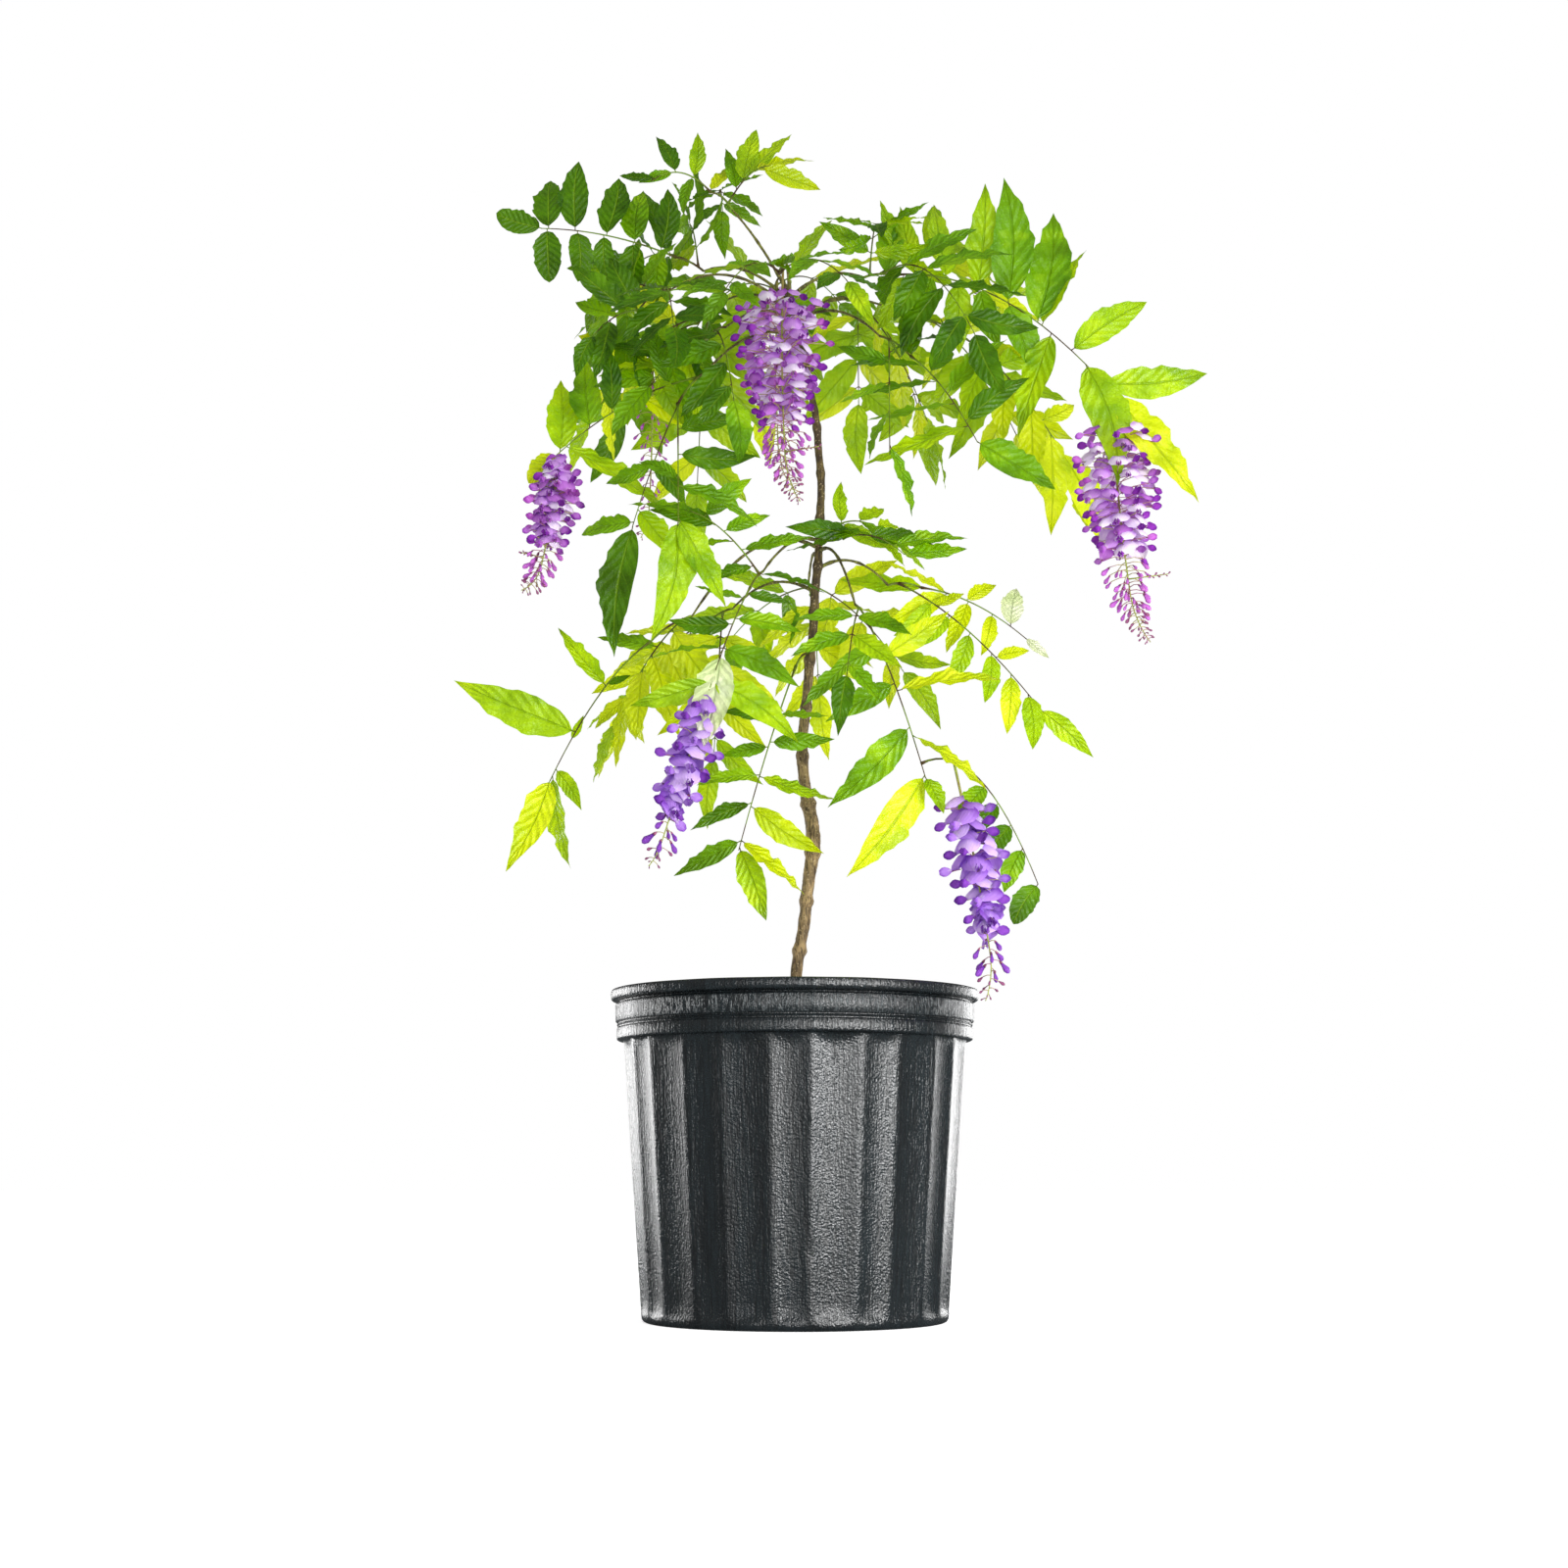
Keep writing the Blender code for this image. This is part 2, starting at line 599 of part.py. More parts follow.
def raceme_core(raceme, carrier, carrier_radius):
    """The core of a raceme, which swells below its stalk, and the line it follows."""
    centre, along = carrier(raceme.foot)
    foot, away = foot_on(centre, along, carrier_radius, raceme.tip)
    at = arch(foot, raceme.tip, 0)
    points, headings, radii = [foot], [away], [PEDUNCLE_RADIUS]
    for share, girth in RACEME_GIRTHS:
        point, heading = at(share)
        points.append(point)
        headings.append(heading)
        radii.append(max(PEDUNCLE_RADIUS, girth * raceme.radius * RACEME_CORE))
    return tube(points, headings, radii, RACEME_SIDES), at


def girth_at(share):
    """A raceme's girth at a share of its length, as a share of its radius."""
    for (low, thick), (high, thin) in zip(RACEME_GIRTHS, RACEME_GIRTHS[1:]):
        if share <= high:
            break
    return thick + (thin - thick) * (share - low) / (high - low)


def florets(raceme, at, seed):
    """The florets of a raceme, which spiral down its core and hang a little."""
    draw = random.Random(seed)
    first, last = 0.2, 0.95
    for k in range(raceme.florets):
        share = first + (last - first) * k / raceme.florets
        root, down = at(share)
        reach = raceme.radius * max(0.3, 1.2 * girth_at(share)) * draw.uniform(0.92, 1.05)
        out = Quaternion(down, k * GOLDEN_ANGLE) @ down.orthogonal().normalized()
        heading = (out + down * 0.35).normalized()
        normal = heading.cross(down).normalized()
        yield blade(root, heading, normal, reach, reach * 0.66, reach * 0.6, FLORET_WIDEST)


def build_racemes(finish, arches, grown, neighbours):
    carried = {}
    for name, raceme in RACEMES.items():
        if isinstance(raceme.carrier, str):
            carrier, radius = arches[raceme.carrier], BOUGH_RADIUS
        else:
            mass, leaf = raceme.carrier
            carrier, radius = grown[mass][leaf][1], MIDRIB_RADIUS
        core, at = raceme_core(raceme, carrier, radius)
        neighbours.add(name, *core)
        carried[name] = core, at
    for number, (name, raceme) in enumerate(RACEMES.items()):
        core, at = carried[name]
        shapes = [core]
        for floret in florets(raceme, at, SEED + number):
            if not neighbours.touches(*floret, (name,)):
                shapes.append(floret)
                neighbours.add(name, *floret)
        fuse(name, shapes, finish)


def build_masses(finish, shapes, grown, neighbours):
    seed = SEED * 100
    for name, leaves in grown.items():
        for leaf, rib in leaves:
            seed += 1
            for number, (heading, normal, root, length) in enumerate(leaflets(leaf, rib, seed)):
                found = fitted_blade(heading, normal, root, length, leaf.slim, name, neighbours)
                if found is None:
                    continue
                made, guard = found
                shapes[name].append(made)
                neighbours.add(name, *made)
                neighbours.add((name, seed, number), *guard)
        fuse(name, shapes[name], finish)


def main():
    clear_scene()
    bark = material("bark", (0.22, 0.15, 0.07), 0.8)
    green = material("leaf", (0.16, 0.42, 0.02), 0.5)
    blossom = material("blossom", (0.33, 0.14, 0.62), 0.6)
    black = material("polyethylene", (0.03, 0.035, 0.04), 0.4)
    compost = material("compost", (0.05, 0.022, 0.015), 0.95)
    neighbours = Neighbours()
    build_pot(black)
    build_soil(compost)
    build_trunk(bark, neighbours)
    arches = build_boughs(bark, neighbours)
    shapes, grown = plan_masses(arches, neighbours)
    build_racemes(blossom, arches, grown, neighbours)
    build_masses(green, shapes, grown, neighbours)


main()
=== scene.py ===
"""Potted amethyst falls wisteria, dressed: bark, leaves, blossom, compost and a nursery pot.

The masses and racemes grow by the rule that made their solids, from the same named sizes in
millimetres, and are carried on to waved leaflets, single florets and buds. Small things that
repeat are modelled once and joined by kind.
"""

import math
import random
from collections import namedtuple

import bmesh
import bpy
import numpy as np
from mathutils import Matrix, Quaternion, Vector


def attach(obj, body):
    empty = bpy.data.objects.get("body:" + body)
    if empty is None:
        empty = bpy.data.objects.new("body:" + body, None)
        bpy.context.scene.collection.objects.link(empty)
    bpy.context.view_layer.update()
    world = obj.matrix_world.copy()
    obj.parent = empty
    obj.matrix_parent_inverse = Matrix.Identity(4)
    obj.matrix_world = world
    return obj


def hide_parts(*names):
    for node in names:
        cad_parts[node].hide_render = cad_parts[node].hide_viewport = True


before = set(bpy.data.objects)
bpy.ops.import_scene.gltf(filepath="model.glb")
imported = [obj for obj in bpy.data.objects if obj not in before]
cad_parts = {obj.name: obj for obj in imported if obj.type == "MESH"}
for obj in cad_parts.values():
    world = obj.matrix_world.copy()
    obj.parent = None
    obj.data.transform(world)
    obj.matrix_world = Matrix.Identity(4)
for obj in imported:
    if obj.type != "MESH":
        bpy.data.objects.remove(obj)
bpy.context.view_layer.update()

MM = 0.001
CLEAR = 0.3
SEED = 7
GOLDEN_ANGLE = math.radians(137.5)
UP = Vector((0, 0, 1))

# The nursery pot. A wide and a narrow flute make a pair, a pair has so many columns of points, and
# the mould seam stands so many degrees right of the front.
FOOT_RADIUS = 114
WALL_SLOPE = 0.0754
FLUTE_PAIRS = 12
PAIR_COLUMNS = 32
WIDE_COLUMNS = 18
FLUTE_DEPTH = 2.6
FLUTE_FOOT = 6
SEAM_TURN = 4.95
SOIL_TOP = 214
SOIL_RADIUS = 130.4

# The trunk's course: height, x, y and radius
TRUNK_COURSE = (
    (SOIL_TOP + CLEAR, -4, 0, 8.5),
    (228, -3, 0, 5.2),
    (306, 8, 0, 4.5),
    (369, 14, 2, 5.4),
    (420, 6, 0, 4.2),
    (523, 14, -1, 3.6),
    (640, 21, 1, 3.0),
    (700, 17, 0, 2.8),
    (773, 4, 0, 2.6),
    (813, -8, 0, 2.4),
)

# Boughs and leaflets. A leaflet slimmer than EDGE_ON is seen turned on its edge. Where the rule
# deals the leaflets out they are SLIMMER than their solids.
BOUGH_SKIN = 1.25
BOUGH_TIP_SKIN = 0.8
PETIOLE_SHARE = 0.24
LAST_PAIR = 0.9
BLADE_DROOP = 0.1
EDGE_ON = 3.5
SLIMMER = 1.15

# How bright the white sky is to what it lights, and in a gloss
SKY = 0.62
GLOSS_SKY = 0.15

# The camera: the photograph's width and focal length in pixels, and its place and upward tilt
PHOTO_WIDTH = 1600
FOCAL_LENGTH = 2270
SENSOR_WIDTH = 36
CAMERA_PLACE = (-0.0082, -1.7, 0.115)
CAMERA_TILT = 9.7

Bough = namedtuple("Bough", "height tip lift")
Leaf = namedtuple("Leaf", "foot tip lift pairs blade slim spread face tint lost", defaults=((),))
Mass = namedtuple("Mass", "carrier tip lift leaves")
Fan = namedtuple("Fan", "count share turn length slim tint")
Raceme = namedtuple("Raceme", "carrier foot tip radius florets kind hook first twig")

# Each bough leaves the trunk at a height and runs to its tip in one arch
BOUGHS = {
    "bough_leader": Bough(813, (-50, 5, 880), 4),
    "bough_front": Bough(796, (-10, -58, 800), 22),
    "bough_right_high": Bough(803, (56, -10, 816), 10),
    "bough_right_low": Bough(782, (66, -58, 748), 14),
    "bough_right_back": Bough(789, (92, 68, 814), 14),
    "bough_left_high": Bough(805, (-74, 30, 838), 12),
    "bough_left_arch": Bough(794, (-98, -24, 800), 20),
    "bough_left_mid": Bough(785, (-54, -38, 763), 10),
    "bough_left_low": Bough(768, (-68, -66, 716), 16),
    "bough_back": Bough(800, (-16, 92, 850), 14),
    "bough_back_left": Bough(790, (-66, 92, 832), 14),
    "bough_back_right": Bough(779, (50, 100, 842), 10),
    "bough_low_left": Bough(596, (-80, -18, 534), 26),
    "bough_low_front": Bough(600, (-24, -58, 560), 10),
    "bough_low_right": Bough(592, (46, -50, 536), 16),
    "bough_low_right_back": Bough(580, (76, 48, 577), 12),
    "bough_low_back": Bough(586, (12, 84, 588), 14),
    "bough_low_back_left": Bough(560, (-50, 58, 560), 14),
}

# The greens, from the oldest leaves to the youngest, and how a leaf's number stands for one
DEEP, MID, FRESH, LIME, PALE = range(5)

# A leaf's foot is a share of its stem's length, or the number of a leaf before it in the same mass
# with a share of that one's midrib. Its blade is the longest leaflet, slim is how many times longer
# than wide that is, spread is the angle of the first pair to the midrib, face is where the upper
# side looks, and tint is its green. Lost leaflets are the ones that have dropped.
MASSES = {
    "crown_top": Mass("bough_leader", (-68, -2, 892), 4, (
        Leaf(1.0, (-114, -32, 888), 12, 4, 46, 2.9, 95, (0, 25), MID),
        Leaf(0.2, (-20, -34, 900), 8, 3, 46, 2.9, 62, (0, 20), FRESH),
        Leaf(0.6, (-60, 60, 906), 10, 3, 46, 2.9, 60, (180, 35), MID),
    )),
    "crown_front": Mass("bough_front", (-12, -74, 792), 4, (
        Leaf(0.9, (-52, -140, 752), 14, 3, 46, 2.9, 62, (-20, 30), MID),
        Leaf(1.0, (38, -136, 762), 14, 3, 46, 2.9, 62, (20, 30), MID),
    )),
    "crown_left_high": Mass("bough_left_high", (-97, 25, 848), 2, (
        Leaf(1.0, (-205, 0, 862), 6, 5, 50, 2.1, 92, (0, 8), DEEP),
        Leaf(0.2, (-88, 70, 896), 10, 3, 50, 2.3, 70, (150, 30), MID),
        Leaf(0.6, (-150, 104, 860), 14, 4, 52, 2.3, 70, (200, 30), DEEP),
    )),
    "crown_left": Mass("bough_left_arch", (-124, -32, 778), 6, (
        Leaf(1.0, (-158, -50, 750), 6, 3, 56, 2.3, 80, (0, 15), DEEP),
        Leaf(0.5, (-150, 34, 812), 12, 3, 54, 2.4, 70, (-90, 30), MID),
        Leaf(0.1, (-92, -96, 742), 12, 4, 52, 2.4, 70, (-10, 30), DEEP),
    )),
    "crown_left_mid": Mass("bough_left_mid", (-68, -47, 750), 3, (
        Leaf(1.0, (-110, -66, 706), 6, 4, 56, 2.5, 75, (0, 20), MID),
        Leaf(0.6, (-46, -110, 680), 14, 4, 56, 2.6, 64, (0, 25), DEEP, (0, 2, 4, 6)),
    )),
    "crown_left_low": Mass("bough_left_low", (-90, -76, 686), 4, (
        Leaf(0.3, (-182, -60, 652), 10, 4, 68, 2.8, 100, (0, 12), MID),
        Leaf(1.0, (-86, -118, 580), 10, 4, 82, 3.1, 96, (0, 14), MID),
        Leaf(0.7, (-122, -84, 588), 8, 3, 74, 2.7, 70, (0, 10), DEEP),
    )),
    "crown_right_high": Mass("bough_right_high", (78, -14, 816), 2, (
        Leaf(1.0, (250, -40, 706), 30, 6, 84, 2.8, 92, (0, 10), FRESH),
        Leaf(0.7, (136, -92, 738), 26, 4, 62, 2.6, 66, (0, 20), DEEP),
        Leaf(0.2, (64, -72, 834), 12, 4, 46, 2.7, 76, (0, 24), MID),
        Leaf(0.6, (136, 30, 852), 10, 3, 62, 2.7, 64, (30, 30), FRESH),
    )),
    "crown_right_back": Mass("bough_right_back", (143, 84, 802), 5, (
        Leaf(1.0, (238, 110, 690), 14, 5, 72, 2.7, 74, (10, 10), LIME),
        Leaf(0.4, (192, 152, 742), 16, 4, 66, 2.7, 66, (150, 20), LIME),
        Leaf(0.7, (176, 148, 862), 16, 3, 62, 2.7, 66, (140, 30), FRESH),
    )),
    "crown_right_low": Mass("bough_right_low", (90, -66, 728), 3, (
        Leaf(1.0, (137, -96, 650), 8, 5, 62, 2.9, 84, (0, 16), DEEP),
        Leaf(0.3, (70, -120, 632), 14, 4, 46, 3.8, 74, (0, 20), DEEP),
    )),
    "crown_back": Mass("bough_back", (-18, 112, 850), 2, (
        Leaf(1.0, (-22, 208, 800), 26, 4, 64, 2.6, 64, (180, 30), FRESH),
        Leaf(0.5, (-84, 178, 850), 18, 3, 62, 2.6, 64, (200, 35), MID),
        Leaf(0.2, (40, 170, 868), 16, 3, 60, 2.6, 64, (160, 35), FRESH),
    )),
    "crown_back_left": Mass("bough_back_left", (-82, 106, 822), 2, (
        Leaf(1.0, (-150, 172, 768), 18, 3, 66, 2.6, 66, (215, 25), MID),
        Leaf(0.4, (-84, 176, 706), 20, 4, 64, 2.6, 64, (180, 20), FRESH),
        Leaf(0.7, (-166, 96, 742), 18, 3, 62, 2.6, 66, (240, 25), LIME),
    )),
    "crown_back_right": Mass("bough_back_right", (62, 114, 834), 2, (
        Leaf(1.0, (112, 196, 776), 20, 3, 66, 2.6, 66, (150, 25), FRESH),
        Leaf(0.4, (58, 188, 782), 14, 4, 64, 2.6, 64, (180, 20), FRESH),
        Leaf(0.1, (112, 104, 738), 16, 3, 62, 2.6, 66, (110, 25), LIME),
    )),
    "low_left": Mass("bough_low_left", (-112, -25, 512), 4, (
        Leaf(1.0, (-186, -30, 404), 14, 3, 86, 2.9, 96, (0, 12), FRESH, (0, 2, 5)),
        Leaf(0.2, (-143, 40, 462), 10, 4, 52, 2.4, 66, (-20, 10), LIME),
    )),
    "low_front": Mass("bough_low_front", (-34, -65, 545), 2, (
        Leaf(1.0, (-64, -86, 460), 6, 5, 62, 3.1, 66, (0, 22), MID),
        Leaf(0.3, (-78, -96, 596), 8, 3, 54, 3.0, 64, (0, 28), MID),
    )),
    "low_centre": Mass("trunk", (0, -22, 492), 4, (
        Leaf(0.9, (-42, -55, 346), 6, 6, 58, 3.4, 66, (0, 16), FRESH),
    )),
    "low_right": Mass("bough_low_right", (56, -56, 520), 2, (
        Leaf(1.0, (96, -85, 396), 8, 4, 76, 3.1, 68, (0, 18), FRESH),
        Leaf(0.3, (38, -106, 470), 8, 3, 52, 2.8, 64, (0, 22), MID),
        Leaf((0, 0.93), (182, -45, 322), 34, 4, 34, 1.8, 100, (0, 12), DEEP, (0, 2, 4, 6)),
    )),
    "low_right_back": Mass("bough_low_right_back", (104, 57, 577), 3, (
        Leaf(1.0, (190, 78, 540), 8, 4, 58, 2.5, 72, (0, 24), LIME),
        Leaf(0.3, (196, 36, 472), 12, 5, 56, 2.7, 66, (0, 16), LIME),
    )),
    "low_collar": Mass("trunk", (38, -34, 592), 3, (
        Leaf(1.0, (82, -84, 566), 8, 3, 52, 3.0, 64, (0, 35), DEEP),
        Leaf(0.3, (70, 6, 610), 8, 3, 46, 3.0, 64, (60, 35), FRESH),
    )),
    "low_back": Mass("bough_low_back", (14, 100, 582), 2, (
        Leaf(1.0, (22, 186, 520), 16, 4, 62, 2.8, 64, (180, 25), LIME),
        Leaf(0.5, (-62, 160, 548), 12, 3, 58, 2.8, 64, (200, 30), FRESH),
        Leaf(0.2, (92, 142, 528), 12, 3, 58, 2.8, 64, (150, 25), LIME),
    )),
    "low_back_left": Mass("bough_low_back_left", (-70, 70, 552), 2, (
        Leaf(1.0, (-136, 112, 486), 14, 4, 60, 2.8, 66, (230, 20), LIME),
        Leaf(0.4, (-66, 104, 446), 12, 4, 58, 3.0, 64, (190, 15), LIME),
    )),
}

# The leaves in front carry fans of leaflets, read off the photograph: how many, and from the first
# to the last the share of the midrib, the turn as seen from the front (0 to the right, 90 up), the
# length and the tint. Where one number stands for two, it is the same all along.
FANS = {
    ("crown_left_high", 0): (
        Fan(5, (0.1, 0.96), (84, 94), (66, 74), 2.6, (MID, DEEP)),
        Fan(5, (0.13, 0.96), (268, 276), 46, 2.1, (MID, DEEP)),
        Fan(1, 1, 161, 42, 1.6, DEEP),
    ),
    ("crown_top", 0): (
        Fan(3, (0.02, 0.6), (60, 112), (54, 52), 3.2, (FRESH, DEEP)),
        Fan(3, (0.3, 0.95), (250, 168), (44, 26), 2.8, MID),
    ),
    ("crown_top", 1): (Fan(5, (0.2, 0.8), (100, -8), (48, 52), 2.7, (MID, LIME)),),
    ("crown_left", 0): (
        Fan(3, (0.03, 0.45), (117, 144), (62, 50), 2.7, (DEEP, MID)),
        Fan(3, (0.25, 0.96), (266, 250), (70, 50), 3.3, (MID, DEEP)),
    ),
    ("crown_left_low", 0): (
        Fan(5, (0.22, 0.98), (100, 87), (56, 76), 3.4, (DEEP, MID)),
        Fan(2, (0.4, 0.94), 335, (52, 98), 3.5, FRESH),
        Fan(1, 0.99, 217, 32, 1.8, LIME),
    ),
    ("crown_left_low", 1): (
        Fan(4, (0.33, 0.97), (19, -53), (48, 84), 3.3, (DEEP, FRESH)),
        Fan(1, 0.73, 151, 46, 2.9, MID),
        Fan(1, 1, 263, 92, 3.4, FRESH),
    ),
    ("crown_left_low", 2): (
        Fan(2, (0.6, 0.9), -50, 46, 2.5, (DEEP, MID)),
        Fan(2, (0.65, 0.96), (192, 180), 40, 2.2, MID),
        Fan(1, 1, 264, 100, 3.6, DEEP),
    ),
    ("crown_right_high", 0): (
        Fan(6, (0.0, 0.66), (96, 84), (70, 106), 3.4, FRESH),
        Fan(3, (0.7, 0.94), (62, -4), (88, 88), 3.4, (MID, FRESH)),
        Fan(5, (0.07, 0.54), (250, 292), (52, 58), 2.5, (FRESH, MID)),
        Fan(3, (0.74, 1), (252, 302), (92, 108), 3.2, (FRESH, LIME)),
    ),
    ("crown_right_low", 0): (
        Fan(4, (0.03, 0.83), (90, 29), (66, 74), 3.3, (DEEP, MID)),
        Fan(4, (0.19, 0.89), (180, 202), (66, 84), 4.2, (DEEP, MID)),
        Fan(1, 0.99, -35, 70, 2.6, MID),
    ),
    ("crown_right_low", 1): (
        Fan(4, (0.35, 0.95), (160, 288), (46, 54), 4.2, DEEP),
        Fan(1, 0.23, 38, 52, 4.2, DEEP),
    ),
    ("crown_right_back", 0): (
        Fan(4, (0.23, 0.8), (247, 270), (60, 100), 3, (FRESH, LIME)),
        Fan(2, (0.9, 1), (292, 276), (112, 56), 3.8, LIME),
        Fan(2, (0.33, 0.69), 32, 48, 2.4, (FRESH, LIME)),
    ),
    ("low_collar", 0): (
        Fan(4, (0.05, 0.5), (196, 150), (52, 46), 3.6, (DEEP, MID)),
        Fan(4, (0.4, 1), (-20, 24), (50, 56), 3.4, (DEEP, MID)),
    ),
    ("low_front", 1): (
        Fan(4, (0.1, 0.9), (206, 150), (46, 58), 3.4, (DEEP, MID)),
        Fan(4, (0.0, 0.8), (-12, 46), (56, 50), 3.4, (DEEP, MID)),
    ),
    ("low_left", 0): (
        Fan(2, (0.47, 0.76), (128, 156), (62, 104), 3.6, (LIME, FRESH)),
        Fan(2, (0.45, 0.8), (29, 61), 24, 3.2, (DEEP, MID)),
        Fan(3, (0.94, 1), (306, 246), (46, 86), 3.4, (FRESH, LIME)),
    ),
    ("low_left", 1): (
        Fan(7, (0.18, 1), (309, 243), (60, 50), 2.7, LIME),
        Fan(2, (0.36, 0.81), (167, 216), (48, 40), 3.2, (FRESH, LIME)),
    ),
    ("low_front", 0): (
        Fan(4, (0.16, 0.92), (170, 197), (44, 62), 4.4, (DEEP, MID)),
        Fan(4, (0.11, 0.9), (-10, -39), (36, 74), 3.2, (DEEP, FRESH)),
        Fan(1, 0.7, 263, 68, 2.4, PALE),
    ),
    ("low_centre", 0): (
        Fan(5, (0.3, 0.97), (8, -42), (40, 72), 3.9, (MID, LIME)),
        Fan(5, (0.31, 0.96), (176, 208), (40, 56), 4, (DEEP, MID)),
        Fan(1, 1, 291, 58, 2.8, FRESH),
    ),
    ("low_right", 0): (
        Fan(4, (0.23, 0.97), (205, 232), (44, 98), 3.3, (MID, FRESH)),
        Fan(3, (0.28, 0.78), (39, -40), (76, 70), 4.2, (FRESH, LIME)),
        Fan(1, 1, -58, 34, 2.1, MID),
    ),
    ("low_right", 2): (Fan(5, (0.56, 1), (232, 244), (30, 42), 1.9, DEEP),),
    ("low_right_back", 0): (
        Fan(2, (0.05, 0.26), (158, 143), 68, 4, (FRESH, LIME)),
        Fan(2, (0.42, 0.85), (39, 83), (38, 46), 2.4, (LIME, PALE)),
        Fan(3, (0.24, 0.7), (215, 265), (60, 40), 3.2, LIME),
        Fan(1, 1, -45, 24, 2.4, PALE),
    ),
    ("low_right_back", 1): (
        Fan(6, (0.24, 0.92), (228, 274), (44, 58), 3, (FRESH, LIME)),
        Fan(2, (0.27, 0.68), (31, 14), 28, 2.8, LIME),
        Fan(1, 1, -40, 62, 4.4, LIME),
    ),
}

# A raceme hangs from a bough, or from the midrib of one leaf of a mass. The lilac kind has many
# small florets, the blue kind has fewer and larger ones. hook says how far its tip swings aside,
# first is the share where its florets begin, and twig is a side twig's share and length.
RACEMES = {
    "raceme_centre": Raceme("bough_front", 0.86, (-5, -80, 602), 38, 28, "lilac", 1, 0.17, (0.77, 26)),
    "raceme_left": Raceme(("crown_left_low", 0), 0.99, (-198, -64, 537), 22, 18, "lilac", -1, 0.1,
                          (0.72, -16)),
    "raceme_right": Raceme(("crown_right_high", 0), 0.98, (262, -46, 501), 35, 26, "lilac", 1, 0.2,
                           (0.73, 30)),
    "raceme_low_left": Raceme(("low_front", 0), 0.98, (-105, -92, 323), 24, 18, "blue", -0.2, 0.1, None),
    "raceme_low_right": Raceme(("low_right", 2), 0.28, (146, -92, 225), 27, 20, "blue", -1, 0.2, None),
    "raceme_back": Raceme("bough_back", 0.84, (-12, 96, 676), 32, 16, "lilac", 0.6, 0.08, None),
    "raceme_back_left": Raceme(("crown_back_left", 0), 0.6, (-126, 152, 640), 26, 14, "young", -0.6, 0.08,
                               None),
}

# Down a raceme: share of its length, and girth as a share of its radius
RACEME_GIRTHS = ((0.12, 0.2), (0.2, 0.8), (0.4, 0.8), (0.65, 0.5), (0.85, 0.22), (1, 0.05))


# ---- The growing rule of the solids ----

def arch(foot, tip, lift):
    """A point on the arch from foot to tip for a share of its length, and the heading there."""
    foot, tip = Vector(foot), Vector(tip)
    middle = (foot + tip) / 2 + UP * lift * 2

    def at(share):
        back = 1 - share
        point = foot * back * back + middle * 2 * back * share + tip * share * share
        heading = (middle - foot) * back + (tip - middle) * share
        return point, heading.normalized()

    return at


def trunk_at(height):
    """The trunk's centre and radius at a height, on a smooth curve through its course."""
    course = TRUNK_COURSE
    height = min(max(height, course[0][0]), course[-1][0])
    i = max(k for k in range(len(course) - 1) if course[k][0] <= height)
    before, low, high, after = (course[min(max(k, 0), len(course) - 1)] for k in range(i - 1, i + 3))
    span = high[0] - low[0]
    t = (height - low[0]) / span
    found = []
    for k in (1, 2, 3):
        slope_low = (high[k] - before[k]) / (high[0] - before[0])
        slope_high = (after[k] - low[k]) / (after[0] - low[0])
        found.append(
            (2 * t**3 - 3 * t**2 + 1) * low[k] + (3 * t**2 - 2 * t**3) * high[k]
            + ((t**3 - 2 * t**2 + t) * slope_low + (t**3 - t**2) * slope_high) * span
        )
    return Vector((found[0], found[1], height)), found[2]


def trunk_heading(height):
    return (trunk_at(height + 4)[0] - trunk_at(height - 4)[0]).normalized()


def tube(places, radii, sides):
    """Points and faces of a closed tapering tube through places, each a point and a heading that
    its ring is square to."""
    points, headings = zip(*places)
    corners, across = [], headings[0].orthogonal()
    for point, heading, radius in zip(points, headings, radii):
        across = (across - heading * across.dot(heading)).normalized()
        other = heading.cross(across)
        corners += [
            point + (across * math.cos(turn) + other * math.sin(turn)) * radius
            for turn in (math.tau * k / sides for k in range(sides))
        ]
    faces = [tuple(reversed(range(sides)))]
    for foot in range(0, len(corners) - sides, sides):
        for k in range(sides):
            j = (k + 1) % sides
            faces.append((foot + k, foot + j, foot + sides + j, foot + sides + k))
    faces.append(tuple(range(len(corners) - sides, len(corners))))
    return corners, faces


def foot_on(centre, heading, radius, towards):
    """Where a limb that heads towards a point starts, just clear of the limb that carries it."""
    away = Vector(towards) - centre
    away -= heading * away.dot(heading)
    away.normalize()
    return centre + away * (radius + CLEAR), away


def face_vector(face):
    turn, tilt = (math.radians(angle) for angle in face)
    return Vector((math.sin(turn) * math.cos(tilt), -math.cos(turn) * math.cos(tilt), math.sin(tilt)))


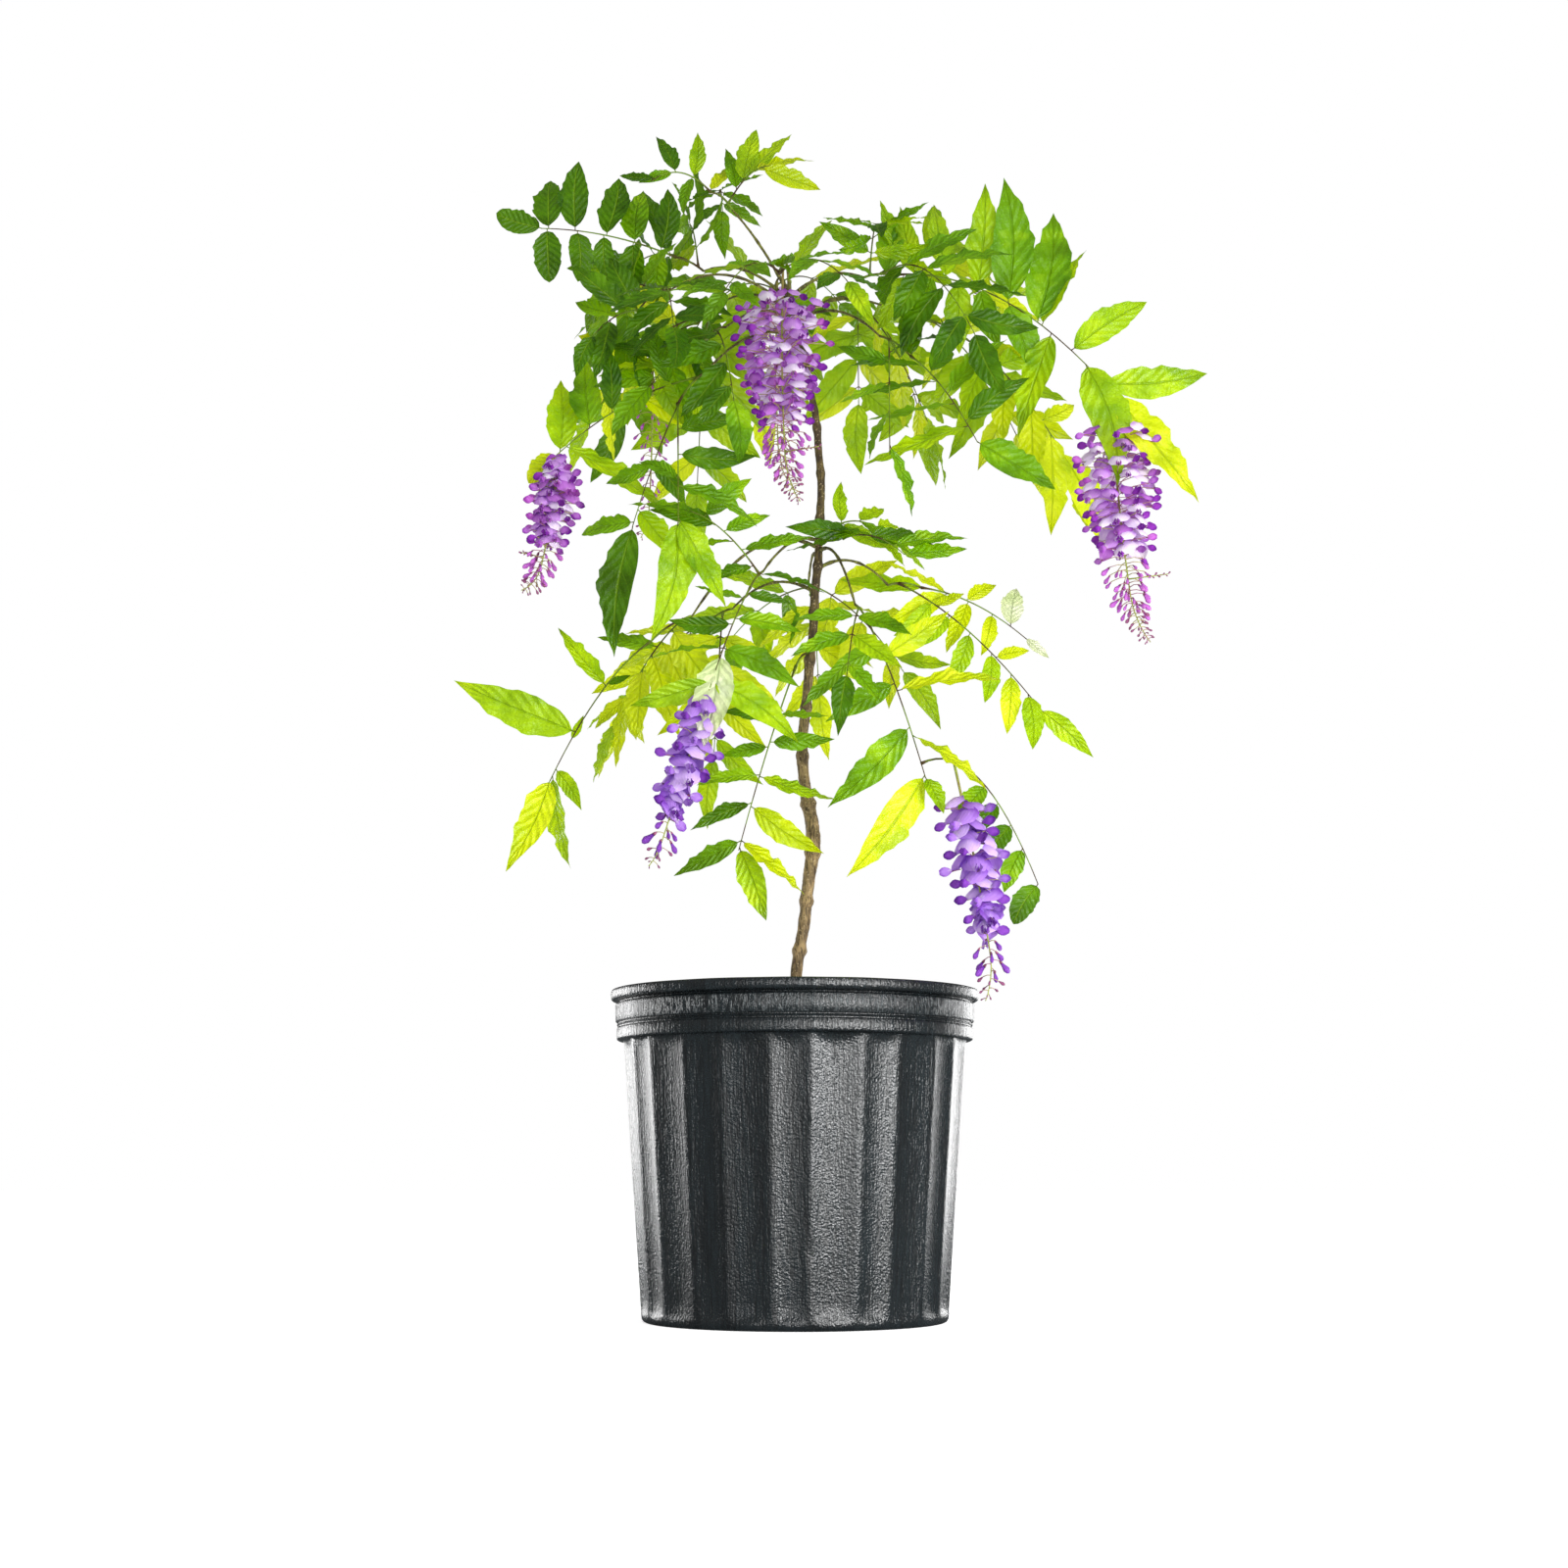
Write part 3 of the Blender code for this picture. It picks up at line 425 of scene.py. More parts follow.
def grow():
    """The arch of every bough, stem, midrib and raceme, each from what carries it."""
    boughs, stems, ribs, hung = {}, {}, {}, {}
    for name, bough in BOUGHS.items():
        centre, radius = trunk_at(bough.height)
        if bough.height >= TRUNK_COURSE[-1][0]:
            foot = centre + trunk_heading(bough.height) * CLEAR
        else:
            foot, _ = foot_on(centre, trunk_heading(bough.height), radius, bough.tip)
        boughs[name] = arch(foot, bough.tip, bough.lift)
    for name, mass in MASSES.items():
        if mass.carrier == "trunk":
            centre, radius = trunk_at(mass.tip[2] + 16)
            foot, _ = foot_on(centre, trunk_heading(mass.tip[2] + 16), radius, mass.tip)
        else:
            foot = boughs[mass.carrier](1.0)[0]
        stems[name] = arch(foot, mass.tip, mass.lift)
        ribs[name] = []
        for leaf in mass.leaves:
            if isinstance(leaf.foot, tuple):
                other, share = leaf.foot
                foot = ribs[name][other](share)[0]
            else:
                foot = stems[name](min(max(leaf.foot, 0.2), 0.97))[0]
            ribs[name].append(arch(foot, leaf.tip, leaf.lift))
    for name, raceme in RACEMES.items():
        if isinstance(raceme.carrier, str):
            carrier = boughs[raceme.carrier]
        else:
            mass, leaf = raceme.carrier
            carrier = ribs[mass][leaf]
        centre, along = carrier(raceme.foot)
        foot, _ = foot_on(centre, along, 0, raceme.tip)
        hung[name] = arch(foot, raceme.tip, 0)
    return boughs, stems, ribs, hung


def between(ends, share):
    """A value a share of the way between two, or the one value that stands for both."""
    return ends[0] + (ends[1] - ends[0]) * share if isinstance(ends, tuple) else ends


def dealt_in_fans(fans, at, look, draw):
    """The leaflets of a leaf in front, fan by fan, lying in the plane that the leaf faces from."""
    right = Vector((1, -look.x / look.y, 0)).normalized()
    upwards = look.cross(right)
    upwards *= math.copysign(1, upwards.z)
    for fan in fans:
        for k in range(fan.count):
            step = k / max(fan.count - 1, 1)
            turn = math.radians(between(fan.turn, step) + draw.uniform(-7, 7))
            heading = right * math.cos(turn) + upwards * math.sin(turn)
            root = at(min(1, between(fan.share, step) + draw.uniform(-0.02, 0.02)))[0]
            length = between(fan.length, step) * draw.uniform(0.84, 1.1)
            yield root, heading, look, length, fan.slim * draw.uniform(0.9, 1.2), between(fan.tint, step)


def dealt_in_pairs(leaf, at, look, draw):
    """The leaflets of any other leaf by the rule of the solids, in pairs and then the end one."""
    for pair in range(leaf.pairs):
        share = PETIOLE_SHARE + (LAST_PAIR - PETIOLE_SHARE) * pair / max(leaf.pairs - 1, 1)
        root, along = at(share)
        normal = (look - along * look.dot(along)).normalized()
        for hand in (1, -1):
            turn = math.radians(leaf.spread * (1 - 0.32 * share) + draw.uniform(-8, 8))
            heading = along * math.cos(turn) + normal.cross(along) * hand * math.sin(turn)
            length = leaf.blade * (0.84 + 0.32 * math.sin(math.pi * share)) * draw.uniform(0.88, 1.04)
            if pair * 2 + (hand < 0) not in leaf.lost:
                yield root, heading, normal, length, leaf.slim * SLIMMER, leaf.tint
    root, along = at(1.0)
    normal = (look - along * look.dot(along)).normalized()
    yield root, along, normal, leaf.blade * 1.04, leaf.slim * SLIMMER, leaf.tint


def leaflets(name, number, leaf, at, seed):
    """The root, heading, normal, length, slimness and tint of each leaflet of a leaf."""
    draw = random.Random(seed)
    look = face_vector(leaf.face)
    if (name, number) in FANS:
        found = dealt_in_fans(FANS[name, number], at, look, draw)
    else:
        found = dealt_in_pairs(leaf, at, look, draw)
    for root, heading, normal, length, slim, tint in found:
        roll = draw.uniform(-18, 18)
        if slim > EDGE_ON:
            roll += math.degrees(math.acos(EDGE_ON / slim)) * draw.choice((-1, 1))
            slim = EDGE_ON
        heading = Quaternion(heading.cross(normal), math.radians(draw.uniform(-14, 14))) @ heading
        normal = Quaternion(heading, math.radians(roll)) @ normal
        normal = (normal - heading * normal.dot(heading)).normalized()
        tint = PALE if tint > LIME + 0.4 else min(max(round(tint + draw.uniform(-0.75, 0.75)), DEEP), LIME)
        yield root, heading, normal, length, slim, tint


# ---- Modelling helpers ----

def nothing_selected():
    for each in list(bpy.context.selected_objects):
        each.select_set(False)


def only(piece):
    nothing_selected()
    piece.select_set(True)
    bpy.context.view_layer.objects.active = piece


def placed():
    """The primitive just added, with its place and turn in its mesh."""
    bpy.ops.object.transform_apply(location=True, rotation=True, scale=False)
    return bpy.context.object


def edit(piece):
    """Edit mode, with all of the piece picked."""
    only(piece)
    bpy.ops.object.mode_set(mode="EDIT")
    bpy.ops.mesh.select_all(action="SELECT")


def done():
    bpy.ops.object.mode_set(mode="OBJECT")


def pick(piece, test):
    """Selects the points of the piece in edit mode that pass a test."""
    bpy.ops.mesh.select_all(action="DESELECT")
    shape = bmesh.from_edit_mesh(piece.data)
    for vertex in shape.verts:
        vertex.select = bool(test(vertex.co))
    shape.select_flush_mode()
    bmesh.update_edit_mesh(piece.data)


def resize(x, y, z):
    bpy.ops.transform.resize(value=(x, y, z), center_override=(0, 0, 0))


def move(x, y, z):
    bpy.ops.transform.translate(value=(x, y, z))


def draw_out(rise, forwards=0):
    """Extrudes what is picked upwards, or downwards where the rise is below nothing."""
    bpy.ops.mesh.extrude_region_move(TRANSFORM_OT_translate={"value": (0, forwards, rise)})


def close_ring():
    bpy.ops.mesh.edge_face_add()


def faces_outwards():
    bpy.ops.mesh.select_all(action="SELECT")
    bpy.ops.mesh.normals_make_consistent(inside=False)


def modify(piece, kind, **settings):
    """Adds a modifier with its settings and applies it."""
    only(piece)
    modifier = piece.modifiers.new(kind.lower(), kind)
    for name, value in settings.items():
        setattr(modifier, name, value)
    bpy.ops.object.modifier_apply(modifier=modifier.name)


def roughen(piece, grain, depth, along=None):
    """Presses cloudy relief into a piece. along is an object whose scale draws the clouds out."""
    clouds = bpy.data.textures.new(piece.name + "_relief", "CLOUDS")
    clouds.noise_scale = grain
    how = {"texture_coords": "LOCAL"}
    if along:
        how = {"texture_coords": "OBJECT", "texture_coords_object": along}
    modify(piece, "DISPLACE", texture=clouds, strength=depth, mid_level=0.5, **how)


def smooth(piece, degrees):
    only(piece)
    bpy.ops.object.shade_smooth_by_angle(angle=math.radians(degrees))


def dress(piece, name, material, nodes):
    """Names a finished piece, gives it its material, and hides the solids that it stands for."""
    piece.name = name
    piece.data.name = name
    piece.data.materials.clear()
    piece.data.materials.append(material)
    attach(piece, "root")
    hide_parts(*nodes)


Pattern = namedtuple("Pattern", "points faces uvs")


def as_pattern(piece):
    """The points, faces and UVs of a modelled piece, as arrays to copy it from."""
    mesh = piece.data
    points = np.array([v.co for v in mesh.vertices])
    faces = [tuple(p.vertices) for p in mesh.polygons]
    layer = mesh.uv_layers.active
    uvs = np.array([loop.uv for loop in layer.data]) if layer else np.zeros((len(mesh.loops), 2))
    bpy.data.objects.remove(piece, do_unlink=True)
    return Pattern(points, faces, uvs)


class Joined:
    """Many small things of one kind, gathered as arrays and made one mesh."""

    def __init__(self):
        self.points, self.faces, self.uvs, self.count, self.nodes = [], [], [], 0, set()

    def add(self, points, faces, node, uvs=None):
        """Points in millimetres, and the node that they stand for."""
        self.points.append(np.array(points))
        self.faces += [tuple(i + self.count for i in face) for face in faces]
        if uvs is not None:
            self.uvs.append(uvs)
        self.count += len(points)
        self.nodes.add(node)

    def make(self, name, material, slot):
        """The mesh of all that was gathered, dressed."""
        mesh = bpy.data.meshes.new(name)
        mesh.from_pydata((np.concatenate(self.points) * MM).tolist(), [], self.faces)
        if self.uvs:
            layer = mesh.uv_layers.new(name="UVMap")
            layer.data.foreach_set("uv", np.concatenate(self.uvs).ravel())
        mesh.validate()
        mesh.shade_smooth()
        made = bpy.data.objects.new(name, mesh)
        bpy.context.scene.collection.objects.link(made)
        dress(made, name, material, sorted(self.nodes))


# ---- Finishes ----

def linear(colour):
    """A hex sRGB colour as linear red, green, blue and alpha."""
    parts = [int(colour[k:k + 2], 16) / 255 for k in (1, 3, 5)]
    return (*[c / 12.92 if c <= 0.04045 else ((c + 0.055) / 1.055) ** 2.4 for c in parts], 1)


def add(tree, kind, sockets=None, out=0, **settings):
    """Adds a node with its settings, links or sets its sockets, and gives one of its outputs."""
    node = tree.nodes.new("ShaderNode" + kind)
    for name, value in settings.items():
        setattr(node, name, value)
    for key, value in (sockets or {}).items():
        if isinstance(value, bpy.types.NodeSocket):
            tree.links.new(value, node.inputs[key])
        else:
            node.inputs[key].default_value = value
    return node.outputs[out] if len(node.outputs) else node


def new_finish(name):
    made = bpy.data.materials.new(name)
    made.use_nodes = True
    made.node_tree.nodes.clear()
    return made, made.node_tree


def polyethylene():
    """Blow-moulded recycled polyethylene: glossy, nearly black. Fine drawn lines run down the wall,
    an orange peel breaks the gloss into speckle, and pale streaks stand upright on the band: partly
    scuffs, partly painted glints of light caught by the grain. The real peel is about 0.5 mm and is
    drawn at 1.5 mm, so that it shows."""
    made, tree = new_finish("moulded_polyethylene")
    where = add(tree, "TexCoord", out="Object")
    height = add(tree, "SeparateXYZ", {"Vector": where}, out=2)
    drawn = add(tree, "Mapping", {"Vector": where, "Scale": (1, 1, 0.012)})
    lines = add(tree, "TexNoise", {"Vector": drawn, "Scale": 620, "Detail": 2, "Roughness": 0.6})
    broad = add(tree, "TexNoise", {"Vector": drawn, "Scale": 60, "Detail": 2})
    peel = add(tree, "TexNoise", {"Vector": where, "Scale": 640, "Detail": 1, "Roughness": 0.5})
    upright = add(tree, "Mapping", {"Vector": where, "Scale": (1, 1, 0.2)})
    scuff_and_glint_streaks = add(tree, "TexNoise", {"Vector": upright, "Scale": 800, "Detail": 2, "Roughness": 0.8})
    tone = add(tree, "Mix", {0: 0.4, 2: lines, 3: broad})
    share = add(tree, "MapRange", {"Value": tone, "From Min": 0.4, "From Max": 0.62})
    base = add(tree, "Mix", {0: share, 6: linear("#0b0f11"), 7: linear("#1b2225")}, out=2, data_type="RGBA")
    low = add(tree, "MapRange", {"Value": height, "From Min": (BAND_FOOT - 1) * MM,
                                 "From Max": (BAND_FOOT + 1) * MM})
    high = add(tree, "MapRange", {"Value": height, "From Min": (BAND_TOP + 1) * MM,
                                  "From Max": (BAND_TOP - 1) * MM})
    band = add(tree, "Math", {0: low, 1: high}, operation="MULTIPLY")
    # Pale upright streaks on the band: partly scuffs, partly painted glints of light on its grain
    scuff_and_glint_marks = add(tree, "MapRange", {"Value": scuff_and_glint_streaks, "From Min": 0.52, "From Max": 0.68, "To Max": 0.4})
    scuff_and_glint_marks = add(tree, "Math", {0: scuff_and_glint_marks, 1: band}, operation="MULTIPLY")
    base = add(tree, "Mix", {0: scuff_and_glint_marks, 6: base, 7: linear("#7c8486")}, out=2, data_type="RGBA")
    relief = add(tree, "Math", {0: lines, 1: 1.0, 2: peel}, operation="MULTIPLY_ADD")
    relief = add(tree, "Math", {0: scuff_and_glint_marks, 1: 1.6, 2: relief}, operation="MULTIPLY_ADD")
    shader = add(tree, "BsdfPrincipled", {
        "Base Color": base,
        "Roughness": add(tree, "MapRange", {"Value": tone, "From Min": 0.35, "From Max": 0.65,
                                            "To Min": 0.34, "To Max": 0.2}),
        "IOR": 1.53,
        "Specular IOR Level": 0.85,
        "Normal": add(tree, "Bump", {"Height": relief, "Distance": 0.0006, "Strength": 0.9}),
    })
    add(tree, "OutputMaterial", {"Surface": shader})
    return made


def compost_finish(name, dark, middle, light):
    """Peat and composted bark: matt, crumbly, dark reddish brown, with 1 mm grit."""
    made, tree = new_finish(name)
    where = add(tree, "TexCoord", out="Object")
    lumps = add(tree, "TexNoise", {"Vector": where, "Scale": 240, "Detail": 4})
    grit = add(tree, "TexNoise", {"Vector": where, "Scale": 900, "Detail": 2})
    share = add(tree, "MapRange", {"Value": lumps, "From Min": 0.35, "From Max": 0.65})
    base = add(tree, "Mix", {0: share, 6: linear(dark), 7: linear(middle)}, out=2, data_type="RGBA")
    share = add(tree, "MapRange", {"Value": grit, "From Min": 0.6, "From Max": 0.75})
    base = add(tree, "Mix", {0: share, 6: base, 7: linear(light)}, out=2, data_type="RGBA")
    shader = add(tree, "BsdfPrincipled", {
        "Base Color": base,
        "Roughness": 0.95,
        "Normal": add(tree, "Bump", {"Height": grit, "Distance": 0.0008, "Strength": 0.8}),
    })
    add(tree, "OutputMaterial", {"Surface": shader})
    return made


def bark_finish(name, low, high, crack, pore):
    """Young wisteria bark: greyish tan and corky low down, brown with an olive cast above, with fine
    lengthwise cracks and pale breathing pores. The cracks are drawn 1 mm apart, coarser than real
    ones, so that they show. low and high are each a dark and a light brown."""
    made, tree = new_finish(name)
    where = add(tree, "TexCoord", out="Object")
    height = add(tree, "SeparateXYZ", {"Vector": where}, out=2)
    drawn = add(tree, "Mapping", {"Vector": where, "Scale": (1, 1, 0.14)})
    cracks = add(tree, "TexNoise", {"Vector": drawn, "Scale": 900, "Detail": 3})
    patches = add(tree, "TexNoise", {"Vector": where, "Scale": 130, "Detail": 3})
    pores = add(tree, "TexNoise", {"Vector": where, "Scale": 620, "Detail": 1})
    share = add(tree, "MapRange", {"Value": patches, "From Min": 0.35, "From Max": 0.65})
    below = add(tree, "Mix", {0: share, 6: linear(low[0]), 7: linear(low[1])}, out=2, data_type="RGBA")
    above = add(tree, "Mix", {0: share, 6: linear(high[0]), 7: linear(high[1])}, out=2, data_type="RGBA")
    share = add(tree, "MapRange", {"Value": height, "From Min": 0.36, "From Max": 0.56})
    base = add(tree, "Mix", {0: share, 6: below, 7: above}, out=2, data_type="RGBA")
    share = add(tree, "MapRange", {"Value": cracks, "From Min": 0.52, "From Max": 0.38, "To Max": 0.8})
    base = add(tree, "Mix", {0: share, 6: base, 7: linear(crack)}, out=2, data_type="RGBA")
    share = add(tree, "MapRange", {"Value": pores, "From Min": 0.64, "From Max": 0.7, "To Max": 0.6})
    base = add(tree, "Mix", {0: share, 6: base, 7: linear(pore)}, out=2, data_type="RGBA")
    shader = add(tree, "BsdfPrincipled", {
        "Base Color": base,
        "Roughness": 0.75,
        "Normal": add(tree, "Bump", {"Height": cracks, "Distance": 0.0006, "Strength": 0.9}),
    })
    add(tree, "OutputMaterial", {"Surface": shader})
    return made


def stalk_finish(name, green, brown, share):
    """Leaf and flower stalks: smooth green skin flushed with purple brown."""
    made, tree = new_finish(name)
    where = add(tree, "TexCoord", out="Object")
    flush = add(tree, "TexNoise", {"Vector": where, "Scale": 45, "Detail": 2})
    fine = add(tree, "TexNoise", {"Vector": where, "Scale": 1200, "Detail": 2})
    part = add(tree, "MapRange", {"Value": flush, "From Min": share - 0.08, "From Max": share + 0.08})
    base = add(tree, "Mix", {0: part, 6: linear(green), 7: linear(brown)}, out=2, data_type="RGBA")
    shader = add(tree, "BsdfPrincipled", {
        "Base Color": base,
        "Roughness": 0.55,
        "Specular IOR Level": 0.3,
        "Normal": add(tree, "Bump", {"Height": fine, "Distance": 0.0002, "Strength": 0.4}),
    })
    add(tree, "OutputMaterial", {"Surface": shader})
    return made


def leaf_finish(name, shade, base, light, vein, glow):
    """A thin leaflet: fine midrib and side veins, the skin puckered between them, some of it in an
    older and some in a younger green, a waxy gloss, and light coming through. UVs run across and
    along the leaflet, with eight side veins a side."""
    made, tree = new_finish(name)
    where = add(tree, "TexCoord", out="Object")
    parts = add(tree, "TexCoord", out="UV")
    u = add(tree, "SeparateXYZ", {"Vector": parts})
    v = add(tree, "SeparateXYZ", {"Vector": parts}, out=1)
    across = add(tree, "Math", {0: u, 1: 2.0, 2: -1.0}, operation="MULTIPLY_ADD")
    across = add(tree, "Math", {0: across}, operation="ABSOLUTE")
    slant = add(tree, "Math", {0: across, 1: -1.8}, operation="MULTIPLY")
    run = add(tree, "Math", {0: v, 1: 8.0, 2: slant}, operation="MULTIPLY_ADD")
    run = add(tree, "Math", {0: run}, operation="FRACT")
    beside = add(tree, "Math", {0: run, 1: 0.5}, operation="SUBTRACT")
    beside = add(tree, "Math", {0: beside}, operation="ABSOLUTE")
    side = add(tree, "MapRange", {"Value": beside, "From Min": 0.1, "From Max": 0.02, "To Max": 0.22})
    midrib = add(tree, "MapRange", {"Value": across, "From Min": 0.09, "From Max": 0.03})
    veins = add(tree, "Math", {0: midrib, 1: side}, operation="MAXIMUM")
    swell = add(tree, "MapRange", {"Value": beside, "From Min": 0.05, "From Max": 0.5})
    patches = add(tree, "TexNoise", {"Vector": where, "Scale": 34, "Detail": 2})
    pucker = add(tree, "TexNoise", {"Vector": where, "Scale": 420, "Detail": 2})
    share = add(tree, "MapRange", {"Value": patches, "From Min": 0.34, "From Max": 0.5})
    skin = add(tree, "Mix", {0: share, 6: linear(shade), 7: linear(base)}, out=2, data_type="RGBA")
    share = add(tree, "MapRange", {"Value": patches, "From Min": 0.55, "From Max": 0.7})
    skin = add(tree, "Mix", {0: share, 6: skin, 7: linear(light)}, out=2, data_type="RGBA")
    share = add(tree, "Math", {0: veins, 1: 0.6}, operation="MULTIPLY")
    skin = add(tree, "Mix", {0: share, 6: skin, 7: linear(vein)}, out=2, data_type="RGBA")
    relief = add(tree, "Math", {0: swell, 1: 0.8, 2: pucker}, operation="MULTIPLY_ADD")
    relief = add(tree, "Math", {0: midrib, 1: -0.9, 2: relief}, operation="MULTIPLY_ADD")
    normal = add(tree, "Bump", {"Height": relief, "Distance": 0.0012, "Strength": 0.8})
    shader = add(tree, "BsdfPrincipled", {
        "Base Color": skin, "Roughness": 0.32, "Specular IOR Level": 0.5, "Normal": normal,
    })
    lit = add(tree, "Mix", {0: 0.6, 6: skin, 7: linear(glow)}, out=2, data_type="RGBA")
    through = add(tree, "BsdfTranslucent", {"Color": lit, "Normal": normal})
    add(tree, "OutputMaterial", {"Surface": add(tree, "MixShader", {0: 0.3, 1: shader, 2: through})})
    return made


def petal_finish(name, edge, body, heart, heart_share):
    """A soft petal: the heart pale, the body tinted, fine veins fanning to the edge, and light
    coming through. UVs run across and along the petal from its root."""
    made, tree = new_finish(name)
    where = add(tree, "TexCoord", out="Object")
    parts = add(tree, "TexCoord", out="UV")
    u = add(tree, "SeparateXYZ", {"Vector": parts})
    v = add(tree, "SeparateXYZ", {"Vector": parts}, out=1)
    across = add(tree, "Math", {0: u, 1: 2.0, 2: -1.0}, operation="MULTIPLY_ADD")
    across = add(tree, "Math", {0: across}, operation="ABSOLUTE")
    cloud = add(tree, "TexNoise", {"Vector": where, "Scale": 170, "Detail": 2})
    reach = add(tree, "Math", {0: across, 1: 0.45, 2: v}, operation="MULTIPLY_ADD")
    reach = add(tree, "Math", {0: cloud, 1: 0.5, 2: reach}, operation="MULTIPLY_ADD")
    share = add(tree, "MapRange", {"Value": reach, "From Min": heart_share + 0.25,
                                   "From Max": heart_share + 0.6})
    skin = add(tree, "Mix", {0: share, 6: linear(heart), 7: linear(body)}, out=2, data_type="RGBA")
    share = add(tree, "MapRange", {"Value": reach, "From Min": 1.0, "From Max": 1.5})
    skin = add(tree, "Mix", {0: share, 6: skin, 7: linear(edge)}, out=2, data_type="RGBA")
    fan = add(tree, "Math", {0: add(tree, "Math", {0: u, 1: 60.0}, operation="MULTIPLY")}, operation="SINE")
    share = add(tree, "MapRange", {"Value": fan, "From Min": 0.4, "From Max": 1.0, "To Max": 0.2})
    skin = add(tree, "Mix", {0: share, 6: skin, 7: linear(edge)}, out=2, data_type="RGBA")
    shader = add(tree, "BsdfPrincipled", {
        "Base Color": skin,
        "Roughness": 0.6,
        "Specular IOR Level": 0.2,
        "Normal": add(tree, "Bump", {"Height": fan, "Distance": 0.0001, "Strength": 0.5}),
    })
    through = add(tree, "BsdfTranslucent", {"Color": skin})
    add(tree, "OutputMaterial", {"Surface": add(tree, "MixShader", {0: 0.22, 1: shader, 2: through})})
    return made


# ---- The pot ----

# Heights and radii: up the foot, then the rows of the tapering wall, over the lower groove, the band
# and the lip, and down inside to the floor
FOOT_PROFILE = ((0.0, 105.0), (0.0, 111.5), (0.6, 112.8), (2.2, 113.9), (FLUTE_FOOT, 114.5))
WALL_ROWS = (8, 11, 20, 30, 40, 50, 54, 58, 70, 89, 108, 120, 132, 144, 156, 168, 182, 196, 199.5, 202.5,
             205)
RIM_PROFILE = (
    (206.6, 129.9), (207.0, 131.2), (207.2, 134.0), (207.8, 134.9), (208.8, 135.3), (212.0, 135.4),
    (215.6, 135.3), (216.5, 134.7), (217.1, 133.9), (217.7, 133.9), (218.1, 134.8), (218.7, 135.1),
    (219.2, 134.6), (219.6, 133.9), (220.1, 133.9), (220.6, 135.2), (221.4, 136.1), (227.0, 136.4),
    (233.2, 136.5), (234.2, 136.0), (234.9, 134.3), (235.4, 133.5), (235.9, 133.7), (236.4, 135.7),
    (237.0, 138.3), (237.7, 139.3), (239.3, 139.8), (241.4, 140.0), (243.6, 139.7),
)
INNER_PROFILE = (
    (244.6, 139.0), (245.0, 137.8), (245.0, 135.8), (244.4, 134.8), (243.0, 134.2), (234.0, 133.0),
    (216.0, 131.3), (212.4, 130.9), (209.4, 126.8), (206.6, 124.1), (150.0, 120.5), (80.0, 115.0),
    (12.0, 109.8), (6.0, 108.6), (3.4, 106.0), (3.0, 100.0),
)
# The band of scuffs and painted glints stands between the groove and the lip
BAND_FOOT = 220.5
BAND_TOP = 233.5
# How far in from a row's radius its outer points are picked, and how deep the underside is dished
SKIN_DEPTH = 4.5
DISH = 1.2
# How much of its depth a flute has near its ends, and how many columns wide its ridges are
FLUTE_ENDS = {8: 0.5, 11: 0.9, 199.5: 0.96, 202.5: 0.7, 205.0: 0.28}
RIDGE_COLUMNS = 1.4
# The mould seam stands out of a ridge, with nicks and one dent
SEAM_RAISE = 0.5
NICKS = {30: -0.4, 50: -0.9, 54: -1.9, 58: -0.9, 108: 0.5, 120: -0.7, 144: 0.6, 168: -0.6, 227: 0.5}


def pressed_in(column):
    """How deep the wall is pressed in at a column from the seam. A wide and a narrow flute stand
    side by side, each hollow between narrow ridges."""
    column %= PAIR_COLUMNS
    width = WIDE_COLUMNS if column < WIDE_COLUMNS else PAIR_COLUMNS - WIDE_COLUMNS
    column -= 0 if column < WIDE_COLUMNS else WIDE_COLUMNS
    off = max(0, min(column, width - column) - RIDGE_COLUMNS / 2)
    return FLUTE_DEPTH * (1 - (1 - off / (width / 2 - RIDGE_COLUMNS / 2)) ** 2)


def model_pot(material):
    """The wall is drawn up ring by ring, over the bands and lip and down inside. Then the flutes
    are pressed in and the mould seam is pulled out."""
    columns = FLUTE_PAIRS * PAIR_COLUMNS
    wall = [(z, FOOT_RADIUS + WALL_SLOPE * z) for z in WALL_ROWS]
    rings = [*FOOT_PROFILE, *wall, *RIM_PROFILE, *INNER_PROFILE]
    foot = rings[0][1]
    nothing_selected()
    bpy.ops.mesh.primitive_circle_add(vertices=columns, radius=foot * MM,
                                      rotation=(0, 0, math.radians(SEAM_TURN)))
    pot = placed()
    edit(pot)
    for (z_before, before), (z, radius) in zip(rings, rings[1:]):
        draw_out((z - z_before) * MM)
        resize(radius / before, radius / before, 1)
    close_ring()
    pick(pot, lambda co: co.z < 1e-6 and co.xy.length < (foot + 1) * MM)
    draw_out(DISH * MM)
    resize(0.988, 0.988, 1)
    close_ring()

    def column_of(co):
        turn = math.degrees(math.atan2(co.y, co.x)) + 90 - SEAM_TURN
        return round(turn * columns / 360) % columns

    def press(row, radius, inwards, where):
        outer = (radius - SKIN_DEPTH) * MM
        pick(pot, lambda co: abs(co.z - row * MM) < 1e-5 and co.xy.length > outer and where(co))
        resize(1 - inwards / radius, 1 - inwards / radius, 1)

    depths = {pressed_in(column) for column in range(PAIR_COLUMNS)} - {0}
    for row, radius in wall:
        for depth in depths:
            press(row, radius, depth * FLUTE_ENDS.get(row, 1), lambda co: pressed_in(column_of(co)) == depth)
    for row, radius in [*wall, *RIM_PROFILE]:
        press(row, radius, -SEAM_RAISE - NICKS.get(row, 0), lambda co: column_of(co) == 0)
    faces_outwards()
    done()
    roughen(pot, 0.06, 0.0005)
    for vertex in pot.data.vertices:
        vertex.co.z = max(vertex.co.z, 0)
    smooth(pot, 50)
    dress(pot, "nursery_pot", material, ["pot"])


# ---- The compost ----

SOIL_RINGS = 40
SOIL_DEPTH = 14


def soil_height(x, y):
    """The compost's top, a little higher round the stem than at the wall."""
    out = min(1, math.hypot(x, y) / SOIL_RADIUS)
    return SOIL_TOP - 1.2 + 2.2 * (1 - out) ** 1.5 + 0.9 * math.sin(x * 0.09) * math.cos(y * 0.07 + 1)


